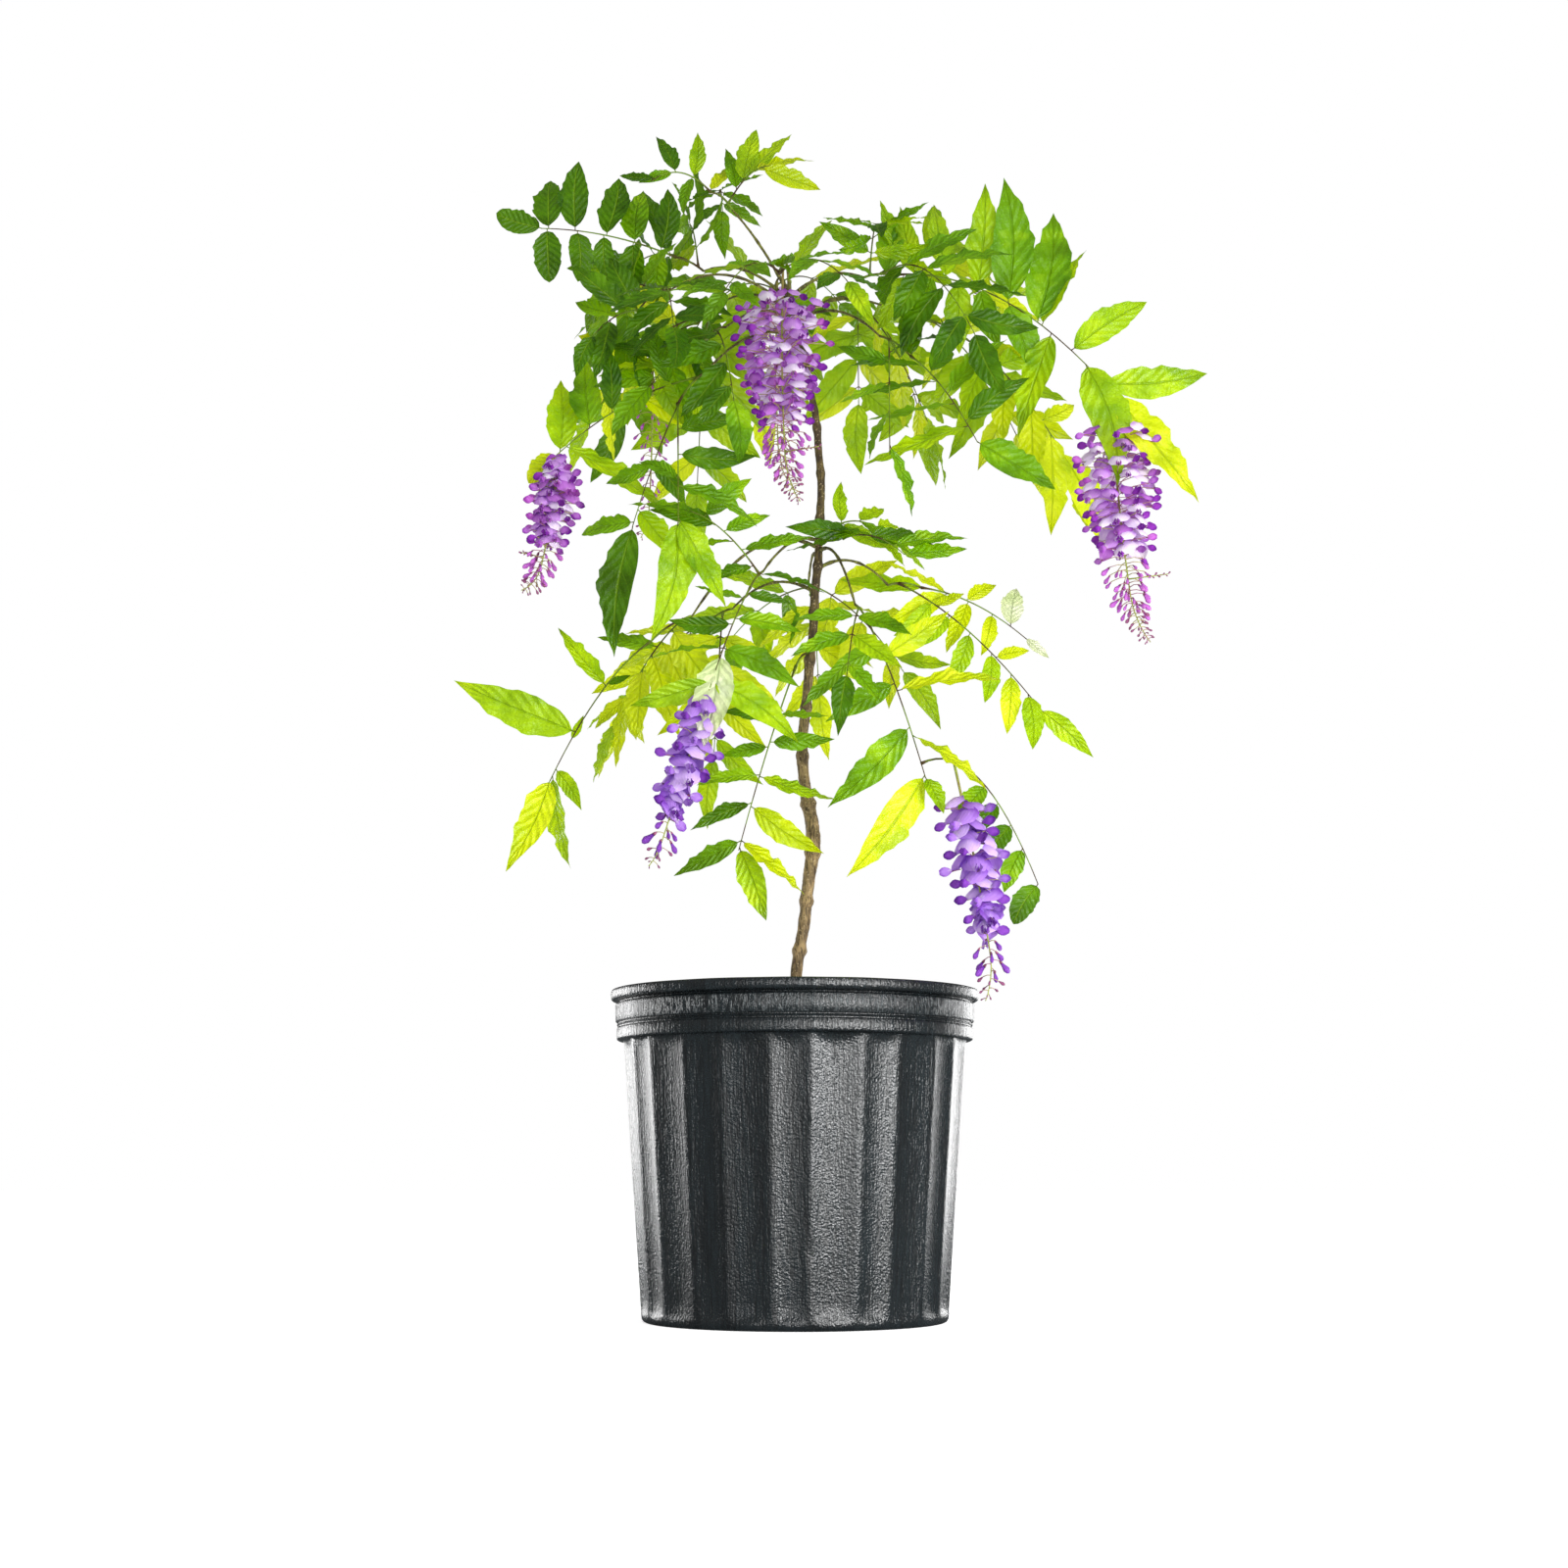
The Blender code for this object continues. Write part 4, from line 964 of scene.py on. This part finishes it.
def model_compost(material):
    """A disc of compost in a shallow heap, rough all over and closed below."""
    nothing_selected()
    bpy.ops.mesh.primitive_circle_add(vertices=96, radius=SOIL_RADIUS * MM, location=(0, 0, SOIL_TOP * MM))
    soil = placed()
    edit(soil)
    for ring in range(SOIL_RINGS, 1, -1):
        draw_out(0)
        resize((ring - 1) / ring, (ring - 1) / ring, 1)
    close_ring()
    done()
    for vertex in soil.data.vertices:
        vertex.co.z = soil_height(vertex.co.x / MM, vertex.co.y / MM) * MM
    edit(soil)
    pick(soil, lambda co: co.xy.length > (SOIL_RADIUS - 0.1) * MM)
    draw_out(-SOIL_DEPTH * MM)
    resize(0.94, 0.94, 1)
    close_ring()
    faces_outwards()
    done()
    roughen(soil, 0.006, 0.0028)
    smooth(soil, 60)
    dress(soil, "compost", material, ["potting_soil"])


def model_crumb(seed, flat=1.0):
    """An angular crumb about one unit across."""
    nothing_selected()
    bpy.ops.mesh.primitive_ico_sphere_add(subdivisions=1, radius=0.5)
    crumb = bpy.context.object
    edit(crumb)
    bpy.ops.transform.vertex_random(offset=0.16, seed=seed)
    bpy.ops.transform.resize(value=(1, 0.8, flat))
    done()
    return as_pattern(crumb)


def scatter(name, material, count, sizes, patterns, draw, reach):
    """Crumbs strewn over the compost as far out as reach, some half sunk in it."""
    joined = Joined()
    for _ in range(count):
        pattern = draw.choice(patterns)
        radius, turn = reach * math.sqrt(draw.random()), draw.uniform(0, math.tau)
        size = draw.uniform(*sizes)
        spin = Quaternion(UP, draw.uniform(0, math.tau)) @ Quaternion(Vector((1, 0, 0)), draw.gauss(0, 0.5))
        x, y = radius * math.cos(turn), radius * math.sin(turn)
        place = np.array((x, y, soil_height(x, y) + size * draw.uniform(-0.1, 0.35)))
        points = pattern.points @ np.array(spin.to_matrix()).T * size + place
        joined.add(points, pattern.faces, "potting_soil")
    joined.make(name, material, "compost")


# ---- Trunk and boughs ----

# How far apart the swollen joints are, and how long a swelling is
TRUNK_JOINTS = 38
BOUGH_JOINTS = 31
SWELLING = 3.2


def limb_piece(places, sides_half):
    """A limb as a curve through places, each a point in millimetres and a radius, made a mesh."""
    nothing_selected()
    bpy.ops.curve.primitive_nurbs_path_add()
    path = bpy.context.object
    path.location = (0, 0, 0)
    curve = path.data
    curve.splines.clear()
    spline = curve.splines.new("POLY")
    spline.points.add(len(places) - 1)
    for point, (place, radius) in zip(spline.points, places):
        point.co = (*(Vector(place) * MM), 1)
        point.radius = radius
    curve.dimensions = "3D"
    curve.twist_mode = "MINIMUM"
    curve.bevel_depth = MM
    curve.bevel_resolution = sides_half
    curve.use_fill_caps = True
    only(path)
    bpy.ops.object.convert(target="MESH")
    return bpy.context.object


def swelling(distance, spacing, share):
    """A limb's girth where its joints swell, one every spacing along it."""
    off = abs((distance / spacing) % 1 - 0.5)
    return 1 + share * math.exp(-((off * spacing) / SWELLING) ** 2)


def drawn_relief(piece, grain, depth):
    """Relief drawn out four times along the limb, as bark cracks."""
    stretch = bpy.data.objects.new("stretch", None)
    bpy.context.scene.collection.objects.link(stretch)
    stretch.scale = (1, 1, 4)
    bpy.context.view_layer.update()
    roughen(piece, grain, depth, stretch)
    bpy.data.objects.remove(stretch, do_unlink=True)


def model_trunk(material):
    """The trunk from a little below the compost, with swollen joints, small sways and corky relief."""
    draw = random.Random(11)
    places = []
    foot, top = TRUNK_COURSE[0][0] - 4, TRUNK_COURSE[-1][0]
    steps = 420
    for k in range(steps + 1):
        z = foot + (top - foot) * k / steps
        centre, radius = trunk_at(z)
        sway = Vector((math.sin(z * 0.11), math.cos(z * 0.083), 0)) * 0.4
        sway *= min(1, max(0, (z - SOIL_TOP - 2) / 20))
        girth = radius * swelling(z + 9, TRUNK_JOINTS, 0.3) * draw.uniform(0.98, 1.02)
        places.append((Vector((centre.x, centre.y, z)) + sway, girth))
    trunk = limb_piece(places, 10)
    drawn_relief(trunk, 0.0026, 0.0012)
    smooth(trunk, 60)
    dress(trunk, "trunk_bark", material, ["trunk"])


def model_boughs(material, boughs):
    """Each bough from inside the trunk, thick at its seat, to its tip."""
    made = []
    for name, at in boughs.items():
        foot, tip = at(0)[0], at(1)[0]
        places = [(trunk_at(min(foot.z, TRUNK_COURSE[-1][0] - 1))[0], BOUGH_SKIN * 1.3)]
        steps = 30
        length = (tip - foot).length
        for k in range(steps + 1):
            share = k / steps
            radius = BOUGH_SKIN + (BOUGH_TIP_SKIN - BOUGH_SKIN) * share
            radius *= 1 + 0.5 * math.exp(-share * length / 4)
            places.append((at(share)[0], radius * swelling(share * length + 6, BOUGH_JOINTS, 0.35)))
        made.append(limb_piece(places, 4))
    nothing_selected()
    for piece in made:
        piece.select_set(True)
    bpy.context.view_layer.objects.active = made[0]
    bpy.ops.object.join()
    joined = bpy.context.object
    roughen(joined, 0.003, 0.0005)
    smooth(joined, 60)
    dress(joined, "bough_bark", material, list(BOUGHS))


# ---- Leaves ----

LEAF_ROWS = 20
# A leaflet's outline by how many times longer than wide it is: oval, full or slender
OVAL_BELOW = 2.15
FULL_BELOW = 3.1


def model_leaflet(belly, taper):
    """A leaflet one unit long and one wide to each side of its midrib, drawn in row by row to its
    outline. belly and taper say how full it is towards the root and the tip."""
    nothing_selected()
    bpy.ops.mesh.primitive_grid_add(x_subdivisions=2, y_subdivisions=LEAF_ROWS, size=2)
    leaf = bpy.context.object
    edit(leaf)
    move(0, 1, 0)
    resize(1, 0.5, 1)
    peak = belly / (belly + taper)
    fullest = peak ** belly * (1 - peak) ** taper
    for row in range(1, LEAF_ROWS):
        share = row / LEAF_ROWS
        width = share ** belly * (1 - share) ** taper / fullest
        pick(leaf, lambda co: abs(co.y - share) < 1e-4)
        resize(width, 1, 1)
    for end in (0, 1):
        pick(leaf, lambda co: abs(co.y - end) < 1e-4)
        bpy.ops.mesh.merge(type="CENTER")
    done()
    return as_pattern(leaf)


def lay_leaflet(joined, pattern, root, heading, normal, length, width, draw, node):
    """Copies the leaflet to its place: folded along its midrib, puckered and waved at the margin,
    bowed sideways and drooping."""
    side = heading.cross(normal)
    across, along = pattern.points[:, 0], pattern.points[:, 1]
    hand = np.sign(np.where(np.abs(across) < 1e-5, 0, across))
    waves, teeth = draw.uniform(2.4, 3.8), draw.uniform(5.5, 7.5)
    starts = [draw.random() for _ in range(4)]
    first = np.where(hand < 0, starts[0], starts[1])
    second = np.where(hand < 0, starts[2], starts[3])
    swing = np.sin(math.tau * (waves * along + first))
    tooth = np.sin(math.tau * (teeth * along + second))
    body = np.sin(math.pi * np.clip(along, 0, 1)) ** 0.6
    fold, curl, bow = draw.uniform(0.06, 0.3), draw.uniform(-0.09, 0.06), draw.uniform(-0.06, 0.06)
    half = np.abs(across) * width / 2
    x = hand * half * (1 + (0.05 * tooth + 0.05 * swing) * body)
    x = x + bow * length * np.sin(math.pi * along)
    z = fold * half + np.abs(hand) * body * (0.022 * swing + 0.016 * tooth) * length
    z = z - BLADE_DROOP * length * along ** 2 + curl * length * along ** 3
    twist = draw.uniform(-0.45, 0.45) * along
    x, z = x * np.cos(twist) - z * np.sin(twist), x * np.sin(twist) + z * np.cos(twist)
    axes = np.array([side, heading, normal])
    points = np.stack([x, along * length, z], axis=1) @ axes + np.array(root)
    joined.add(points, pattern.faces, node, pattern.uvs)


def build_leaves(ribs, greens, stalks):
    """Every leaflet on its short stalk, dealt out by tint."""
    slender, full, oval = model_leaflet(0.72, 1.2), model_leaflet(0.68, 1.0), model_leaflet(0.55, 0.62)
    tints = [Joined() for _ in greens]
    seed = SEED * 100
    for name, rib in ribs.items():
        for number, (leaf, at) in enumerate(zip(MASSES[name].leaves, rib)):
            seed += 1
            for found in leaflets(name, number, leaf, at, seed):
                root, heading, normal, length, slim, tint = found
                draw = random.Random(seed * 1000 + round(length * 10))
                stalk = min(2.6, 0.05 * length)
                start = root + heading * stalk
                pattern = oval if slim < OVAL_BELOW else full if slim < FULL_BELOW else slender
                lay_leaflet(tints[tint], pattern, start, heading, normal, length - stalk,
                            length / slim, draw, name)
                inside = start + heading * length * 0.02
                stalks.add(*tube([(root, heading), (inside, heading)], [0.5, 0.35], 5), name)
    for joined, (label, material) in zip(tints, greens.items()):
        joined.make(f"leaflets_{label}", material, "leaf")


def build_stalks(stems, ribs, stalks):
    """Stems and midribs, each with a swollen foot."""
    for name, at in stems.items():
        shares = [k / 8 for k in range(9)]
        stalks.add(*tube([at(s) for s in shares], [1.05 - 0.3 * s for s in shares], 7), name)
    for name, rib in ribs.items():
        for at in rib:
            shares = [k / 16 for k in range(17)]
            radii = [0.74 - 0.34 * s + 0.7 * math.exp(-s * 28) for s in shares]
            stalks.add(*tube([at(s) for s in shares], radii, 6), name)


# ---- Blossom ----

def shaped_grid(columns, rows, widths, half_width):
    """A flat petal in edit mode, one unit long from its root, as wide as widths say row by row."""
    nothing_selected()
    bpy.ops.mesh.primitive_grid_add(x_subdivisions=columns, y_subdivisions=rows, size=2)
    petal = bpy.context.object
    edit(petal)
    move(0, 1, 0)
    resize(half_width, 0.5, 1)
    for row, width in enumerate(widths):
        pick(petal, lambda co: abs(co.y - row / rows) < 1e-4)
        resize(width, 1, 1)
    return petal


def model_banner():
    """The upright petal of a floret: one unit high, broad and round, notched above, hooded, its
    sides turned back. x runs across, y out from the raceme and z up."""
    petal = shaped_grid(4, 4, (0.24, 0.92, 1.2, 1.12, 0.66), 0.54)
    pick(petal, lambda co: abs(co.x) < 1e-4 and co.y > 0.99)
    move(0, -0.09, 0)
    pick(petal, lambda co: abs(co.x) > 0.4)
    move(0, 0, -0.2)
    pick(petal, lambda co: 0.1 < abs(co.x) < 0.4 and 0.3 < co.y)
    move(0, 0, -0.02)
    pick(petal, lambda co: abs(co.x) < 0.05 and 0.2 < co.y < 0.8)
    move(0, 0, 0.07)
    done()
    pattern = as_pattern(petal)
    flat, lean = pattern.points, math.radians(10)
    up = flat[:, 1] * math.cos(lean) + flat[:, 2] * math.sin(lean)
    out = flat[:, 2] * math.cos(lean) - flat[:, 1] * math.sin(lean) - 0.2 * flat[:, 1] ** 2
    return pattern._replace(points=np.stack([flat[:, 0], out, up], axis=1))


def model_pod(keel):
    """A closed drop, one unit long in y and blunt at its far end. With keel it is the folded lower
    petals, narrow and turned up in front."""
    nothing_selected()
    bpy.ops.mesh.primitive_uv_sphere_add(segments=6, ring_count=5, radius=0.5, rotation=(math.pi / 2, 0, 0))
    pod = placed()
    edit(pod)
    move(0, 0.5, 0)
    resize(0.4, 1, 0.52)
    pick(pod, lambda co: co.y < 0.4)
    resize(0.62, 1, 0.62)
    if keel:
        bpy.ops.mesh.select_all(action="SELECT")
        resize(0.8, 1, 1)
        pick(pod, lambda co: co.y > 0.75)
        move(0, -0.05, 0.16)
        pick(pod, lambda co: co.z < -0.1)
        resize(0.45, 1, 1)
    done()
    return as_pattern(pod)


def model_wing():
    """A side petal that stands on edge: a curved blade one unit long."""
    wing = shaped_grid(2, 4, (0.3, 0.9, 1.25, 1.15, 0.55), 0.26)
    pick(wing, lambda co: abs(co.x) < 0.01)
    move(0, 0, 0.08)
    done()
    pattern = as_pattern(wing)
    return pattern._replace(points=pattern.points[:, (2, 1, 0)])


def model_calyx():
    """The cup that holds the petals: flared and closed by a sunk floor, one unit long in y."""
    nothing_selected()
    bpy.ops.mesh.primitive_circle_add(vertices=6, radius=0.12, rotation=(math.pi / 2, 0, 0))
    cup = placed()
    edit(cup)
    close_ring()
    for step, swell in ((0.4, 2.6), (0.5, 1.25), (-0.3, 0.6)):
        draw_out(0, step)
        resize(swell, 1, swell)
    faces_outwards()
    done()
    return as_pattern(cup)


def lay(joined, pattern, origin, forward, up, size, node, stretch=(1, 1, 1), shift=(0, 0, 0)):
    """Copies a pattern to a place: y along forward, z as near up as may be."""
    right = forward.cross(up).normalized()
    axes = np.array([right, forward, right.cross(forward)])
    points = (pattern.points * stretch + shift) * size @ axes + np.array(origin)
    joined.add(points, pattern.faces, node, pattern.uvs)


def raceme_line(at, hook):
    """The raceme's stalk, which hangs in a slight bow and hooks sideways at its tip."""
    def line(share):
        point = at(share)[0]
        bow = -2.5 * math.sin(math.pi * share) + 9 * (max(0, share - 0.8) / 0.2) ** 1.5
        return point + Vector((hook * bow, -0.2 * bow, 6 * (max(0, share - 0.85) / 0.15) ** 2))

    return line


def girth_at(share):
    """A raceme's girth at a share of its length, as a share of its radius."""
    for (low, thick), (high, thin) in zip(RACEME_GIRTHS, RACEME_GIRTHS[1:]):
        if share <= high:
            break
    return thick + (thin - thick) * (min(max(share, low), high) - low) / (high - low)


Floret = namedtuple("Floret", "banner keel pod wing calyx")

# A kind of raceme: florets for each one of its solid, their length, how far out they stand, the
# finishes of their petals, and the share down to which they are open
Kind = namedtuple("Kind", "each size spread banners keels closed opening")
KINDS = {
    "lilac": Kind(5.4, 12.0, 1.18, ("pale", "pale", "lilac", "lilac", "mauve"),
                  ("keel_violet", "keel_violet", "keel_magenta", "banner_mauve"), "keel_magenta", 0.66),
    "blue": Kind(2.7, 15.5, 1.0, ("blue", "blue", "blue_pale"),
                 ("keel_blue_violet", "banner_blue"), "keel_blue_violet", 0.72),
    "young": Kind(5.0, 8.0, 0.7, ("mauve",), ("keel_magenta",), "keel_magenta", 0.0),
}
# Florets stand closer to the stalk above the shoulder. Below the last closed ones there are buds.
SHOULDER = 0.2
CLOSED_UNTIL = 0.85


def open_floret(joined, shapes, kind, name, root, out, reach, draw):
    """Calyx, banner, keel and two wings of one open floret. As for the other stages, it gives where
    the floret's pedicel ends, its heading there and its length."""
    size = kind.size * draw.uniform(0.82, 1.1)
    stalk = max(2.5, reach - size * 0.3)
    astray = Vector((draw.uniform(-0.6, 0.6), draw.uniform(-0.6, 0.6), draw.uniform(-0.1, 0.5)))
    heading = (out + astray - Vector((0, 0.25, 0))).normalized()
    start = root + (out + UP * 0.1) * stalk
    lay(joined["calyx"], shapes.calyx, start, heading, UP, size * 0.2, name)
    seat = start + heading * size * 0.1
    lay(joined["banner_" + draw.choice(kind.banners)], shapes.banner, seat, heading, UP, size, name,
        (draw.uniform(0.9, 1.15), draw.uniform(0.9, 2.2), draw.uniform(0.85, 1.1)), (0, 0.02, -0.06))
    nose = (heading * 0.9 + UP * draw.uniform(-0.9, 0.2)).normalized()
    lay(joined[draw.choice(kind.keels)], shapes.keel, seat, nose, UP, size * 0.42, name, (0.8, 1, 0.8))
    petals = joined[draw.choice(kind.keels)]
    for hand in (-1, 1):
        lay(petals, shapes.wing, seat, nose, UP, size * 0.6, name, (hand * 2.2, 1, 1.15),
            (hand * 0.13, 0, 0))
    return start, heading, stalk


def closed_floret(joined, shapes, kind, name, root, out, reach, draw):
    """A floret that is about to open, in its calyx."""
    size = kind.size * draw.uniform(0.5, 0.78)
    stalk = max(4, reach * 0.85)
    heading = (out * 0.75 - UP * draw.uniform(0.5, 1.4)).normalized()
    start = root + (out * 0.95 - UP * 0.1) * stalk
    lay(joined["calyx"], shapes.calyx, start, heading, UP, size * 0.3, name)
    lay(joined[kind.closed], shapes.pod, start + heading * size * 0.15, heading, out, size, name)
    return start, heading, stalk


def bud(joined, shapes, name, root, out, fade, draw):
    """A bud near the raceme's tip, smaller the nearer it is, as fade runs from one to nothing."""
    size = 2.4 + 3.6 * fade * draw.uniform(0.7, 1.1)
    stalk = 2.5 + 5 * fade
    heading = (out * 0.8 - UP * draw.uniform(0.2, 0.9)).normalized()
    start = root + (out * 0.9 - UP * 0.15) * stalk
    lay(joined["bud"], shapes.pod, start, heading, out, size, name)
    return start, heading, stalk


def build_racemes(hung, shapes, joined):
    """Down each raceme: open florets, then closed ones, then buds, each on its pedicel."""
    for number, (name, raceme) in enumerate(RACEMES.items()):
        draw = random.Random(900 + number)
        kind = KINDS[raceme.kind]
        line = raceme_line(hung[name], raceme.hook)
        points = [line(k / 24) for k in range(25)]
        headings = [(b - a).normalized() for a, b in zip(points, points[1:])]
        headings.append(headings[-1])
        radii = [1.1 - 0.75 * k / 24 for k in range(25)]
        joined["rachis"].add(*tube(zip(points, headings), radii, 6), name)
        count = round(raceme.florets * kind.each)
        for k in range(count):
            share = raceme.first + (0.99 - raceme.first) * (k + 0.5) / count
            root = line(share)
            down = (line(min(1, share + 0.02)) - line(share - 0.02)).normalized()
            out = down.orthogonal().normalized()
            out = Quaternion(down, k * GOLDEN_ANGLE + draw.uniform(-0.3, 0.3)) @ out
            girth = girth_at(share)
            if share < SHOULDER:
                girth = 0.35 + 0.45 * (share - raceme.first) / (SHOULDER - raceme.first + 0.01)
            reach = raceme.radius * max(0.22, kind.spread * girth) * draw.uniform(0.7, 1.06)
            if share < kind.opening:
                found = open_floret(joined, shapes, kind, name, root, out, reach, draw)
            elif share < CLOSED_UNTIL:
                found = closed_floret(joined, shapes, kind, name, root, out, reach, draw)
            else:
                found = bud(joined, shapes, name, root, out, (1 - share) / (1 - CLOSED_UNTIL), draw)
            start, heading, stalk = found
            bend = root.lerp(start, 0.5) + UP * stalk * 0.08
            places = (root, out), (bend, (start - root).normalized()), (start, heading)
            joined["pedicel"].add(*tube(places, [0.42, 0.34, 0.4], 4), name)
        if raceme.twig:
            grow_twig(joined, shapes, name, line, raceme, draw)


def grow_twig(joined, shapes, name, line, raceme, draw):
    """A short side twig with tight buds, part of the way down a raceme."""
    share, length = raceme.twig
    root = line(share)
    tip = root + Vector((length, -4, 3))
    way = (tip - root).normalized()
    joined["rachis"].add(*tube([(root, way), (tip, way)], [0.6, 0.35], 5), name)
    for k in range(9):
        spot = root.lerp(tip, 0.45 + 0.55 * k / 8)
        out = Quaternion(way, k * GOLDEN_ANGLE) @ way.orthogonal().normalized()
        lay(joined["bud"], shapes.pod, spot, (out + way).normalized(), UP, draw.uniform(2.4, 3.6), name)


# ---- Floor, light and camera ----

def lay_floor():
    """White to the eye, but dim in the pot's gloss, so that the strip lights model the wall."""
    nothing_selected()
    bpy.ops.mesh.primitive_plane_add(size=16)
    floor = bpy.context.object
    floor.name = "floor"
    paper, tree = new_finish("white_studio_floor")
    seen = add(tree, "LightPath")
    mirrored = add(tree, "LightPath", out="Is Glossy Ray")
    pale, dim = (0.93, 0.93, 0.93, 1), (0.13, 0.145, 0.155, 1)
    base = add(tree, "Mix", {0: mirrored, 6: pale, 7: dim}, out=2, data_type="RGBA")
    shader = add(tree, "BsdfPrincipled", {
        "Base Color": base, "Roughness": 0.95, "Specular IOR Level": 0.1, "Emission Color": (1, 1, 1, 1),
        "Emission Strength": add(tree, "Math", {0: seen, 1: 0.55}, operation="MULTIPLY"),
    })
    add(tree, "OutputMaterial", {"Surface": shader})
    floor.data.materials.append(paper)


def light_sky():
    """White to the eye, dimmer to what it lights, and dimmest in the gloss."""
    world = bpy.data.worlds.new("white_studio")
    world.use_nodes = True
    tree = world.node_tree
    tree.nodes.clear()
    seen = add(tree, "LightPath")
    mirrored = add(tree, "LightPath", out="Is Glossy Ray")
    strength = add(tree, "Math", {0: seen, 1: 1 - SKY, 2: SKY}, operation="MULTIPLY_ADD")
    strength = add(tree, "Math", {0: mirrored, 1: GLOSS_SKY - SKY, 2: strength}, operation="MULTIPLY_ADD")
    white = add(tree, "Background", {"Color": (1, 1, 1, 1), "Strength": strength})
    add(tree, "OutputWorld", {"Surface": white})
    bpy.context.scene.world = world


def strip_light(name, turn, width, tall, brightness, distance=1.2, foot=0.0, aim=0.2):
    """A lamp that stands at a turn from the camera's side of the pot, to the right, facing it."""
    angle = math.radians(turn - 90)
    place = Vector((math.cos(angle) * distance, math.sin(angle) * distance, foot + tall / 2))
    lamp = bpy.data.lights.new(name, "AREA")
    lamp.shape = "RECTANGLE"
    lamp.size, lamp.size_y = width, tall
    lamp.energy = brightness * width * tall * math.pi
    made = bpy.data.objects.new(name, lamp)
    made.location = place
    made.rotation_euler = (Vector((0, 0, aim)) - place).to_track_quat("-Z", "Y").to_euler()
    bpy.context.scene.collection.objects.link(made)


def set_camera():
    """The photograph's view, a little below the rim and tilted up."""
    lens = bpy.data.cameras.new("camera")
    lens.sensor_width = SENSOR_WIDTH
    lens.lens = SENSOR_WIDTH * FOCAL_LENGTH / PHOTO_WIDTH
    camera = bpy.data.objects.new("camera", lens)
    camera.location = CAMERA_PLACE
    camera.rotation_euler = (math.radians(90 + CAMERA_TILT), 0, 0)
    bpy.context.scene.collection.objects.link(camera)
    bpy.context.scene.camera = camera
    bpy.context.scene.view_settings.view_transform = "Standard"


# ---- Making everything ----

boughs, stems, ribs, hung = grow()

model_pot(polyethylene())

soil_finish = compost_finish("peat_compost", "#160b0a", "#2f1a1c", "#4a2c25")
model_compost(soil_finish)
draw = random.Random(31)
crumbs = [model_crumb(seed) for seed in range(5)]
chips = [model_crumb(seed, 0.3) for seed in (7, 8, 9)]
scatter("compost_crumbs", soil_finish, 3600, (1.2, 4.6), crumbs, draw, 127)
chip_finish = compost_finish("bark_chips", "#2c1710", "#4d2b1d", "#6b432c")
scatter("bark_chips", chip_finish, 260, (4, 11), chips, draw, 123)
grain_finish = compost_finish("perlite", "#cfcac2", "#e9e6df", "#ffffff")
scatter("perlite", grain_finish, 230, (1.2, 3.8), crumbs, draw, 126)

model_trunk(bark_finish("corky_bark", ("#6f5b3c", "#a98f63"), ("#443620", "#6c5c30"), "#33271a", "#c2ad84"))
bough_finish = bark_finish("green_bark", ("#565420", "#868e30"), ("#46401c", "#7a7c2c"), "#342c14", "#a8a050")
model_boughs(bough_finish, boughs)

greens = {
    "deep": leaf_finish("deep_green_leaf", "#1c4400", "#3a6a00", "#5c8e00", "#7ca01c", "#84ba00"),
    "mid": leaf_finish("mid_green_leaf", "#3c7000", "#649c00", "#92c004", "#4a7c00", "#a8d400"),
    "fresh": leaf_finish("fresh_green_leaf", "#6c9e00", "#98c200", "#bcdc08", "#68980a", "#cce800"),
    "lime": leaf_finish("lime_leaf", "#a8c400", "#ccde00", "#e4f028", "#8cac00", "#e8f400"),
    "pale": leaf_finish("pale_leaf", "#c4d890", "#e0ecb4", "#f8fce4", "#a8c080", "#f0f8c0"),
}
stalks = Joined()
build_stalks(stems, ribs, stalks)
build_leaves(ribs, greens, stalks)
stalks.make("leaf_stalks", stalk_finish("leaf_stalk", "#6c8a1c", "#4a3818", 0.5), "leaf")

petals = {
    "rachis": stalk_finish("raceme_stalk", "#9aa84a", "#8a7a42", 0.58),
    "calyx": stalk_finish("calyx_skin", "#a05a7c", "#6e3350", 0.5),
    "pedicel": stalk_finish("pedicel_skin", "#a8a058", "#a0607c", 0.48),
    "bud": petal_finish("bud_skin", "#7a3a62", "#a05c86", "#8a6a5a", 0.0),
    "banner_pale": petal_finish("pale_banner_petal", "#cc9ce6", "#f4e6fc", "#fffdf4", 0.1),
    "banner_lilac": petal_finish("lilac_banner_petal", "#a450cc", "#d09ae6", "#f8e8f2", 0.05),
    "banner_mauve": petal_finish("mauve_banner_petal", "#943cb4", "#bc74d0", "#eccce6", 0.0),
    "banner_blue": petal_finish("blue_lilac_banner_petal", "#8a4cc4", "#b586e0", "#e8d4f6", 0.05),
    "banner_blue_pale": petal_finish("pale_blue_banner_petal", "#ae82de", "#d8b8f2", "#faf0fc", 0.1),
    "keel_violet": petal_finish("violet_keel_petal", "#74209c", "#9838b8", "#c488dc", 0.0),
    "keel_magenta": petal_finish("magenta_petal", "#a43cb4", "#c870d0", "#cc8cb0", 0.0),
    "keel_blue_violet": petal_finish("blue_violet_keel_petal", "#66289a", "#8c48bc", "#bc90dc", 0.0),
}
blossom = {kind: Joined() for kind in petals}
shapes = Floret(model_banner(), model_pod(True), model_pod(False), model_wing(), model_calyx())
build_racemes(hung, shapes, blossom)
for kind, joined in blossom.items():
    joined.make("raceme_" + kind, petals[kind], "blossom")

lay_floor()
light_sky()
strip_light("key", 36, 0.7, 0.7, 12, distance=2.4, foot=1.7, aim=0.6)
strip_light("front", 0, 1.3, 0.5, 3.5, distance=2.0)
strip_light("front_right", 37, 0.5, 0.5, 13)
strip_light("right_edge", 142, 0.6, 0.5, 5)
strip_light("left_edge", -130, 0.8, 0.5, 6)
set_camera()
